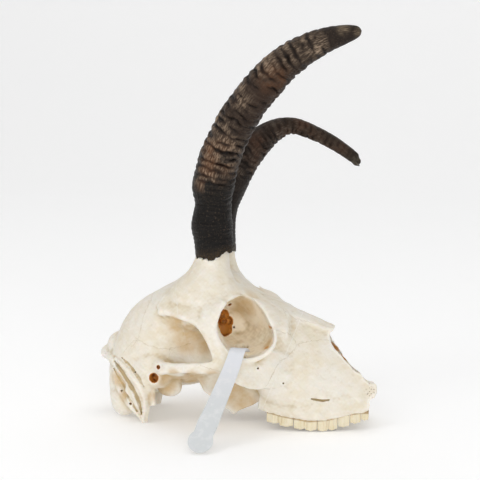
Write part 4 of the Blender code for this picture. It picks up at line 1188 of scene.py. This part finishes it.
def specimen_strip():
    strip = [(x, -y, z, half) for x, y, z, half in TAG_PATH]
    end = np.array([TAG_END[0], -TAG_END[1], TAG_END[2]])
    last = np.array(strip[-1][:3])
    run = unit(end - last)
    path = list(through(strip, 160))
    for a in np.radians(np.linspace(*PADDLE_TURN, 70)):
        path.append(np.array([*(end + run * TAG_PADDLE * math.sin(a)), TAG_PADDLE * math.cos(a)]))
    rings = []
    for k, row in enumerate(path):
        step = unit(path[min(k + 1, len(path) - 1)][:3] - path[max(k - 1, 0)][:3])
        side = unit(np.array([1.0, 0, 0]) - step * step[0])
        face = np.cross(step, side) * TAG_THICK / 2
        # its long edges are a little thinner
        rings.append([row[:3] + side * row[3] * c + face * s * (1 if abs(c) < 0.9 else 0.8)
                      for c, s in oval(28, 9, 9)])
    return skin("specimen_strip", rings)


strip = specimen_strip()
print("strip", len(strip.data.polygons), "faces")


# %% [markdown]
# ## Finishes
#
# Each finish is named for its real material. Colours are read as they look on a screen and turned to
# linear light by one function. Sizes of grain, pores and streaks are real ones: the noise nodes count
# per metre, so a grain of 2 mm is written as PER_MM / 2.

# %% Colour, scale and relief helpers
PER_MM = 1000.0


def rgb(code):
    """sRGB hex to linear colour"""
    values = [int(code[k:k + 2], 16) / 255 for k in (1, 3, 5)]
    return (*[v / 12.92 if v <= 0.04045 else ((v + 0.055) / 1.055) ** 2.4 for v in values], 1.0)


def layered(tree, base, layers):
    """lay colours, written as sRGB hex, over a base, each with its own mask"""
    for mask, code in layers:
        base = add(tree, "Mix", {0: mask, 6: base, 7: rgb(code)}, data_type="RGBA").node.outputs[2]
    return base


def embossed(tree, strength, layers):
    """sum heights in mm, each a pattern times its height, into one bump"""
    total = 0.0
    for pattern, height in layers:
        total = add(tree, "Math MULTIPLY_ADD", (pattern, height, total))
    return add(tree, "Bump", {"Height": total, "Distance": MM, "Strength": strength})


# %% Weathered bone: ivory with cream clouds, tan stains, painted shade in the creases and broad hollows, orange where the inner tissue shows
BONE_GRAINS = (("clouds", 26, 3), ("patches", 7, 3), ("grain", 1.4, 4), ("wander", 2.6, 2), ("dust", 0.45, 2))


def bone_finish(finish):
    tree = finish.node_tree
    place = add(tree, "TexCoord").node.outputs["Object"]
    mark = {name: add(tree, "Attribute", attribute_name=name).node.outputs["Fac"]
            for name in ("seam", "hollow", "valley_shade", "stain_and_shade", "tissue", "porous", "blush")}
    noise = {name: add(tree, "TexNoise",
                       {"Vector": place, "Scale": PER_MM / size, "Detail": detail, "Roughness": 0.6})
             for name, size, detail in BONE_GRAINS}
    clouds = add(tree, "MapRange", (noise["clouds"], 0.40, 0.62))
    patches = add(tree, "MapRange", (noise["patches"], 0.50, 0.72, 0, 0.55))
    grain = add(tree, "MapRange", (noise["grain"], 0.52, 0.78, 0, 0.35))
    # painted shade: creases (hollow mark) and broad hollows (valley mark) are coloured darker tan, where
    # shade falls
    crevice_shade = add(tree, "MapRange", (mark["hollow"], 0.03, 0.55, 0, 0.85))
    valley_shade = add(tree, "MapRange", (mark["valley_shade"], 0.15, 2.2, 0, 0.75))
    raised = add(tree, "MapRange", (mark["hollow"], -0.04, -0.30, 0, 0.6))
    blush = add(tree, "Math MULTIPLY", (mark["blush"], 0.75))
    # the stains and the painted shade of the stain balls are broken up by the patches, so that their edge is
    # uneven
    broken = add(tree, "Math MULTIPLY_ADD", (noise["patches"], 1.1, 0.15))
    stain_and_shade = add(tree, "Math MULTIPLY", (mark["stain_and_shade"], broken), use_clamp=True)
    tissue = add(tree, "MapRange", (mark["tissue"], 0.35, 0.75))
    core = add(tree, "Math MULTIPLY", (mark["tissue"], noise["patches"]))
    core = add(tree, "MapRange", (core, 0.50, 0.62, 0, 0.85))
    # the seam is a fine wandering line
    sway = add(tree, "Math MULTIPLY_ADD", (noise["wander"], 3.2, -1.6))
    offset = add(tree, "Math ADD", (mark["seam"], sway))
    width = add(tree, "Math ABSOLUTE", (offset,))
    line = add(tree, "MapRange", (width, 0.26, 0.04, 0, 0.42))
    gap = add(tree, "Math ABSOLUTE", (mark["seam"],))
    seam = add(tree, "Math MULTIPLY", (line, add(tree, "MapRange", (gap, 3.6, 2.2))))
    # pores: dots of about 0.4 mm where the bone is porous, and a few lost ones elsewhere
    cells = add(tree, "TexVoronoi", {"Vector": place, "Scale": PER_MM / 1.3})
    loose = add(tree, "MapRange", (noise["patches"], 0.70, 0.78, 0, 0.25))
    where = add(tree, "Math MAXIMUM", (mark["porous"], loose))
    pores = add(tree, "Math MULTIPLY", (add(tree, "MapRange", (cells, 0.30, 0.16)), where))
    colour = layered(tree, rgb("#e8e2d6"), [
        (clouds, "#e3d9c4"), (patches, "#ece6db"), (grain, "#d9ccb0"), (raised, "#f4efe6"),
        (valley_shade, "#d3c19b"), (blush, "#f5e6cb"), (crevice_shade, "#b59d70"), (stain_and_shade, "#c9a873"),
        (seam, "#a08757"), (pores, "#8d6c3e"), (tissue, "#cf8c3a"), (core, "#7d470f")])
    # grain, dust and patches stand out, pores and seams are sunk
    bump = embossed(tree, 0.8, [(noise["grain"], 0.16), (noise["dust"], 0.05), (pores, -0.35), (seam, -0.25),
                                (noise["patches"], 0.25)])
    fill(tree.nodes["Principled BSDF"], {
        "Base Color": colour, "Roughness": add(tree, "MapRange", (noise["grain"], 0, 1, 0.46, 0.66)),
        "Normal": bump, "Subsurface Weight": 0.18, "Subsurface Radius": (1.0, 0.62, 0.35),
        "Subsurface Scale": 0.0016})


# %% Tooth enamel: yellowish ivory, glossy, with painted shade in the gutters and just under the gum line, and brown on the chewing face
def enamel_finish(finish):
    tree = finish.node_tree
    place = add(tree, "TexCoord").node.outputs["Object"]
    mark = {name: add(tree, "Attribute", attribute_name=name).node.outputs["Fac"]
            for name in ("hollow", "chewing", "neck")}
    # upright stripes 1.2 mm wide and 7 mm long
    streaks = add(tree, "Mapping", {"Vector": place, "Scale": (PER_MM / 1.2, PER_MM / 1.2, PER_MM / 7)})
    stripes = add(tree, "TexNoise", {"Vector": streaks, "Scale": 1.0, "Detail": 3.0})
    clouds = add(tree, "TexNoise", {"Vector": place, "Scale": PER_MM / 5, "Detail": 2.0})
    colour = layered(tree, rgb("#e9dfc6"), [
        (add(tree, "MapRange", (clouds, 0.42, 0.66, 0, 0.6)), "#e0d1ab"),
        (add(tree, "MapRange", (stripes, 0.5, 0.75, 0, 0.6)), "#d4c091"),
        # painted shade: darker brown just under the gum line, where the tooth goes into the bone
        (add(tree, "MapRange", (mark["neck"], 0.1, 0.9, 0, 0.8)), "#a07f48"),
        # painted shade: brown in the gutters and gaps between the teeth
        (add(tree, "MapRange", (mark["hollow"], 0.04, 0.30, 0, 0.7)), "#a4875a"),
        (add(tree, "MapRange", (mark["chewing"], 0.35, 0.65, 0, 0.9)), "#5d4222")])
    fill(tree.nodes["Principled BSDF"], {
        "Base Color": colour, "Roughness": 0.32, "Coat Weight": 0.25, "Subsurface Weight": 0.12,
        "Subsurface Radius": (1.0, 0.7, 0.45), "Subsurface Scale": 0.001,
        "Normal": embossed(tree, 0.7, [(stripes, 0.12)])})


# %% Horn sheath: dark keratin, paler on the worn crests and partly a painted highlight there, with painted shade in the ring grooves, pale flecks as painted highlights, growth lines round it and fibres along it
def horn_finish(finish, stops, trough, pale_crest_and_highlight, warm_colour, rim_colour, tip_colour, wear_and_highlight):
    tree = finish.node_tree
    place = add(tree, "TexCoord").node.outputs["Object"]
    mark = {name: add(tree, "Attribute", attribute_name=name).node.outputs["Fac"]
            for name in ("along", "phase", "crest", "fade", "warm", "wear_and_highlight", "tip")}
    around = add(tree, "Attribute", attribute_name="round").node.outputs["Vector"]
    climb, lift = (add(tree, "CombineXYZ", {"Z": mark[name]}) for name in ("phase", "along"))
    # growth lines: long round the horn and short along it
    level = add(tree, "VectorMath MULTIPLY_ADD", (climb, (1, 1, 4.2), around))
    lines = add(tree, "TexNoise", {"Vector": level, "Scale": 1.6, "Detail": 4.0, "Roughness": 0.65})
    # fibres, and the short pale strokes on the worn crests, run along the horn
    threads = []
    for crowd, stretch, scale, detail, rough in ((14, 0.07, 1.3, 4.0, 0.7), (11, 0.16, 1.6, 2.0, 0.5)):
        ring = add(tree, "VectorMath MULTIPLY", (around, (crowd, crowd, crowd)))
        spot = add(tree, "VectorMath MULTIPLY_ADD", (lift, (0, 0, stretch), ring))
        threads.append(add(tree, "TexNoise",
                           {"Vector": spot, "Scale": scale, "Detail": detail, "Roughness": rough}))
    fibres, strokes = threads
    blotches = add(tree, "TexNoise", {"Vector": place, "Scale": PER_MM / 11, "Detail": 3.0})
    specks = add(tree, "TexNoise", {"Vector": place, "Scale": PER_MM / 1.1, "Detail": 3.0})
    far_end = stops[-1][0]
    ramp = add(tree, "ValToRGB", (add(tree, "Math MULTIPLY", (mark["along"], 1 / far_end)),))
    elements = ramp.node.color_ramp.elements
    for k, (far, code) in enumerate(stops):
        stop = elements[k] if k < 2 else elements.new(1.0)
        stop.position = far / far_end
        stop.color = rgb(code)
    combed = add(tree, "MapRange", (strokes, 0.46, 0.62, 0.12))
    # pale worn crests, partly a painted highlight where the worn balls lie on the lit side
    crest = add(tree, "Math MULTIPLY", (mark["crest"], blotches))
    crest = add(tree, "Math MULTIPLY", (add(tree, "MapRange", (crest, 0.28, 0.60)), combed))
    # painted shade: the grooves between the rings are darkened
    groove_shade = add(tree, "MapRange", (mark["crest"], 0.75, 0.15, 0, 0.8))
    fine = add(tree, "MapRange", (lines, 0.52, 0.70, 0, 0.6))
    warm = add(tree, "MapRange", (blotches, 0.36, 0.62, 0, 0.7))
    rim = add(tree, "MapRange", (mark["along"], 5.0, 0.5, 0, 0.75))
    # each mask shows only where the other one of its pair does
    crest, groove_shade, fine, warm, rim, tipped = (
        add(tree, "Math MULTIPLY", pair)
        for pair in ((crest, mark["wear_and_highlight"]), (groove_shade, mark["fade"]), (fine, mark["fade"]),
                     (warm, mark["warm"]), (rim, add(tree, "MapRange", (specks, 0.42, 0.6))),
                     (combed, mark["tip"])))
    # painted highlight: small pale flecks on the horn's surface
    highlight_fleck = add(tree, "MapRange", (specks, 0.42, 0.32, 0, 0.5))
    dark = add(tree, "MapRange", (fibres, 0.54, 0.72, 0, 0.6))
    speck = add(tree, "MapRange", (specks, 0.62, 0.72, 0, 0.5))
    colour = layered(tree, ramp, [
        (crest, pale_crest_and_highlight), (warm, warm_colour), (fine, wear_and_highlight), (highlight_fleck, wear_and_highlight), (dark, trough),
        (groove_shade, trough), (speck, trough), (rim, rim_colour), (tipped, tip_colour)])
    fill(tree.nodes["Principled BSDF"], {
        "Base Color": colour, "Roughness": add(tree, "MapRange", (fibres, 0, 1, 0.26, 0.56)),
        "Specular IOR Level": 0.13,
        "Normal": embossed(tree, 0.9, [(lines, 0.5), (fibres, 0.5), (specks, 0.12)])})


# %% Frosted plastic: white, a little see-through, with faint scuffs, and painted shade that greys its lower, bent part
def plastic_finish(finish):
    tree = finish.node_tree
    place = add(tree, "TexCoord").node.outputs["Object"]
    height = add(tree, "SeparateXYZ", (place,)).node.outputs["Z"]
    scuffs = add(tree, "TexNoise", {"Vector": place, "Scale": PER_MM / 4, "Detail": 4.0})
    colour = layered(tree, rgb("#eceef3"), [
        # painted shade: greyer below 52 mm, where the strip bends down towards the table
        (add(tree, "MapRange", (height, 0.052, 0.026)), "#e2e5e6"),
        (add(tree, "MapRange", (scuffs, 0.5, 0.7, 0, 0.5)), "#f6f6f7")])
    fill(tree.nodes["Principled BSDF"], {
        "Base Color": colour, "Roughness": add(tree, "MapRange", (scuffs, 0, 1, 0.30, 0.46)),
        "Transmission Weight": 0.25, "Subsurface Weight": 0.25, "Subsurface Radius": (1.0, 1.0, 1.0),
        "Subsurface Scale": 0.001})


# %% All finishes, with the horns' colours from foot to tip
bone_finish(FINISHES["weathered bone"])
enamel_finish(FINISHES["tooth enamel"])
horn_finish(FINISHES["dark horn sheath"],
            [(0, "#151312"), (12, "#161413"), (48, "#181614"), (75, "#2a211b"), (120, "#32251d"),
             (165, "#2c221b"), (200, "#241c17"), (245, "#1c1613")],
            "#0b0908", "#bfa68c", "#65422a", "#4c3d28", "#85745f", "#54473b")
horn_finish(FINISHES["brown horn sheath"],
            [(0, "#171210"), (20, "#1a1411"), (70, "#211812"), (110, "#2e2117"), (150, "#2a2018"),
             (185, "#231c17")],
            "#100c0a", "#6f6458", "#462d1e", "#4a3a24", "#6f6759", "#4a4038")
plastic_finish(FINISHES["frosted plastic"])
print("finishes", len(FINISHES))


# %% [markdown]
# ## Into the frame
#
# Every piece moves from the skull's own millimetres to its place in the frame and takes its finish,
# and the solid nodes it stands for are hidden. All of it rides on the one body, the root.

# %% Places, nodes and slots
SHARP_ANGLE = 62             # edges sharper than this, in degrees, are shaded as edges
dressing = [
    (bones["braincase"], "bone", "weathered bone", ["braincase"]),
    (bones["forehead"], "bone", "weathered bone", ["forehead_right", "forehead_left"]),
    (bones["muzzle"], "bone", "weathered bone", ["muzzle"]),
    (left_teeth, "enamel", "tooth enamel", []),
    (right_teeth, "enamel", "tooth enamel", []),
    (right_horn, "horn_dark", "dark horn sheath", ["horn_right"]),
    (left_horn, "horn_brown", "brown horn sheath", ["horn_left"]),
    (strip, "tag", "frosted plastic", ["specimen_tag"])]
for piece, slot, finish, nodes in dressing:
    placed(piece)
    piece.data.materials.clear()
    piece.data.materials.append(FINISHES[finish])
    piece.data.shade_smooth()
    piece.data.set_sharp_from_angle(angle=math.radians(SHARP_ANGLE))
    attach(piece, "root")
    if nodes:
        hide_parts(*nodes)
print("pieces", len(dressing))


# %% [markdown]
# ## Camera and studio
#
# The camera looks at the skull's right side from a little in front and above, from about 0.9 m. The
# floor is white paper that curves up behind, and the light is a pale world, a wide soft light overhead,
# a key from behind the skull's nape and a broad one in front, which keeps the shadows faint.

# %% The camera
AZIMUTH, ELEVATION, ROLL = 6.0, 7.0, 1.4       # degrees
DISTANCE = 0.9
FIELD = 0.336                                  # width seen at the skull, m
TARGET = Vector((0.0, 0.0, 126.9 * MM)) + SHIFT


def look_matrix():
    a, e, r = (math.radians(v) for v in (AZIMUTH, ELEVATION, ROLL))
    back = Vector((math.sin(a) * math.cos(e), -math.cos(a) * math.cos(e), math.sin(e)))
    right = Vector((math.cos(a), math.sin(a), 0))
    up = back.cross(right)
    turned_right = right * math.cos(r) + up * math.sin(r)
    turned_up = up * math.cos(r) - right * math.sin(r)
    rows = Matrix((turned_right, turned_up, back)).transposed().to_4x4()
    rows.translation = TARGET + back * DISTANCE
    return rows


lens = bpy.data.cameras.new("camera")
lens.sensor_fit = "HORIZONTAL"
lens.angle = 2 * math.atan(FIELD / 2 / DISTANCE)
lens.clip_end = 10
camera = bpy.data.objects.new("camera", lens)
camera.matrix_world = look_matrix()
bpy.context.scene.collection.objects.link(camera)
bpy.context.scene.camera = camera


# %% Floor and backdrop in one sweep
FLOOR_DEPTH = 1.6            # flat part of the floor behind the skull, m
SWEEP = 0.9                  # radius of the curve up, m
PAPER_WHITE = (0.93, 0.93, 0.93, 1)
PAPER_GLOW = 0.16            # a faint glow of its own keeps the paper white


def paper_sweep():
    """white paper that runs along the floor and curves up behind, with no corner"""
    profile = [(-4.0, 0.0), (FLOOR_DEPTH, 0.0)]
    profile += [(FLOOR_DEPTH + SWEEP * math.sin(a), SWEEP * (1 - math.cos(a)))
                for a in np.radians(np.arange(6, 91, 6))]
    profile += [(FLOOR_DEPTH + SWEEP, 5.0)]
    points = [(x, y, z) for y, z in profile for x in (-5.0, 5.0)]
    faces = [(2 * k, 2 * k + 1, 2 * k + 3, 2 * k + 2) for k in range(len(profile) - 1)]
    mesh = bpy.data.meshes.new("paper_sweep")
    mesh.from_pydata(points, [], faces)
    mesh.shade_smooth()
    return new_object("paper_sweep", mesh)


sweep = paper_sweep()
paper = bpy.data.materials.new("matt white paper")
paper.use_nodes = True
fill(paper.node_tree.nodes["Principled BSDF"], {
    "Base Color": PAPER_WHITE, "Roughness": 0.9, "Emission Color": (1, 1, 1, 1),
    "Emission Strength": PAPER_GLOW})
sweep.data.materials.append(paper)


# %% World and lights
world = bpy.data.worlds.new("studio")
world.use_nodes = True
fill(world.node_tree.nodes["Background"], ((1, 1, 1, 1), 0.53))
bpy.context.scene.world = world


def soft_light(name, place, size, power):
    """square light at a place, turned to the skull"""
    light = bpy.data.lights.new(name, "AREA")
    light.size = size
    light.energy = power
    thing = bpy.data.objects.new(name, light)
    aim = (TARGET - Vector(place)).to_track_quat("-Z", "Y").to_matrix().to_4x4()
    thing.matrix_world = Matrix.Translation(place) @ aim
    bpy.context.scene.collection.objects.link(thing)


soft_light("overhead", (0.35, 0.1, 2.4), 2.4, 12)
soft_light("key", (-0.9, -1.1, 1.2), 0.8, 4.5)
soft_light("front", (0.35, -1.9, 0.55), 1.2, 11.5)
bpy.context.scene.view_settings.view_transform = "Standard"
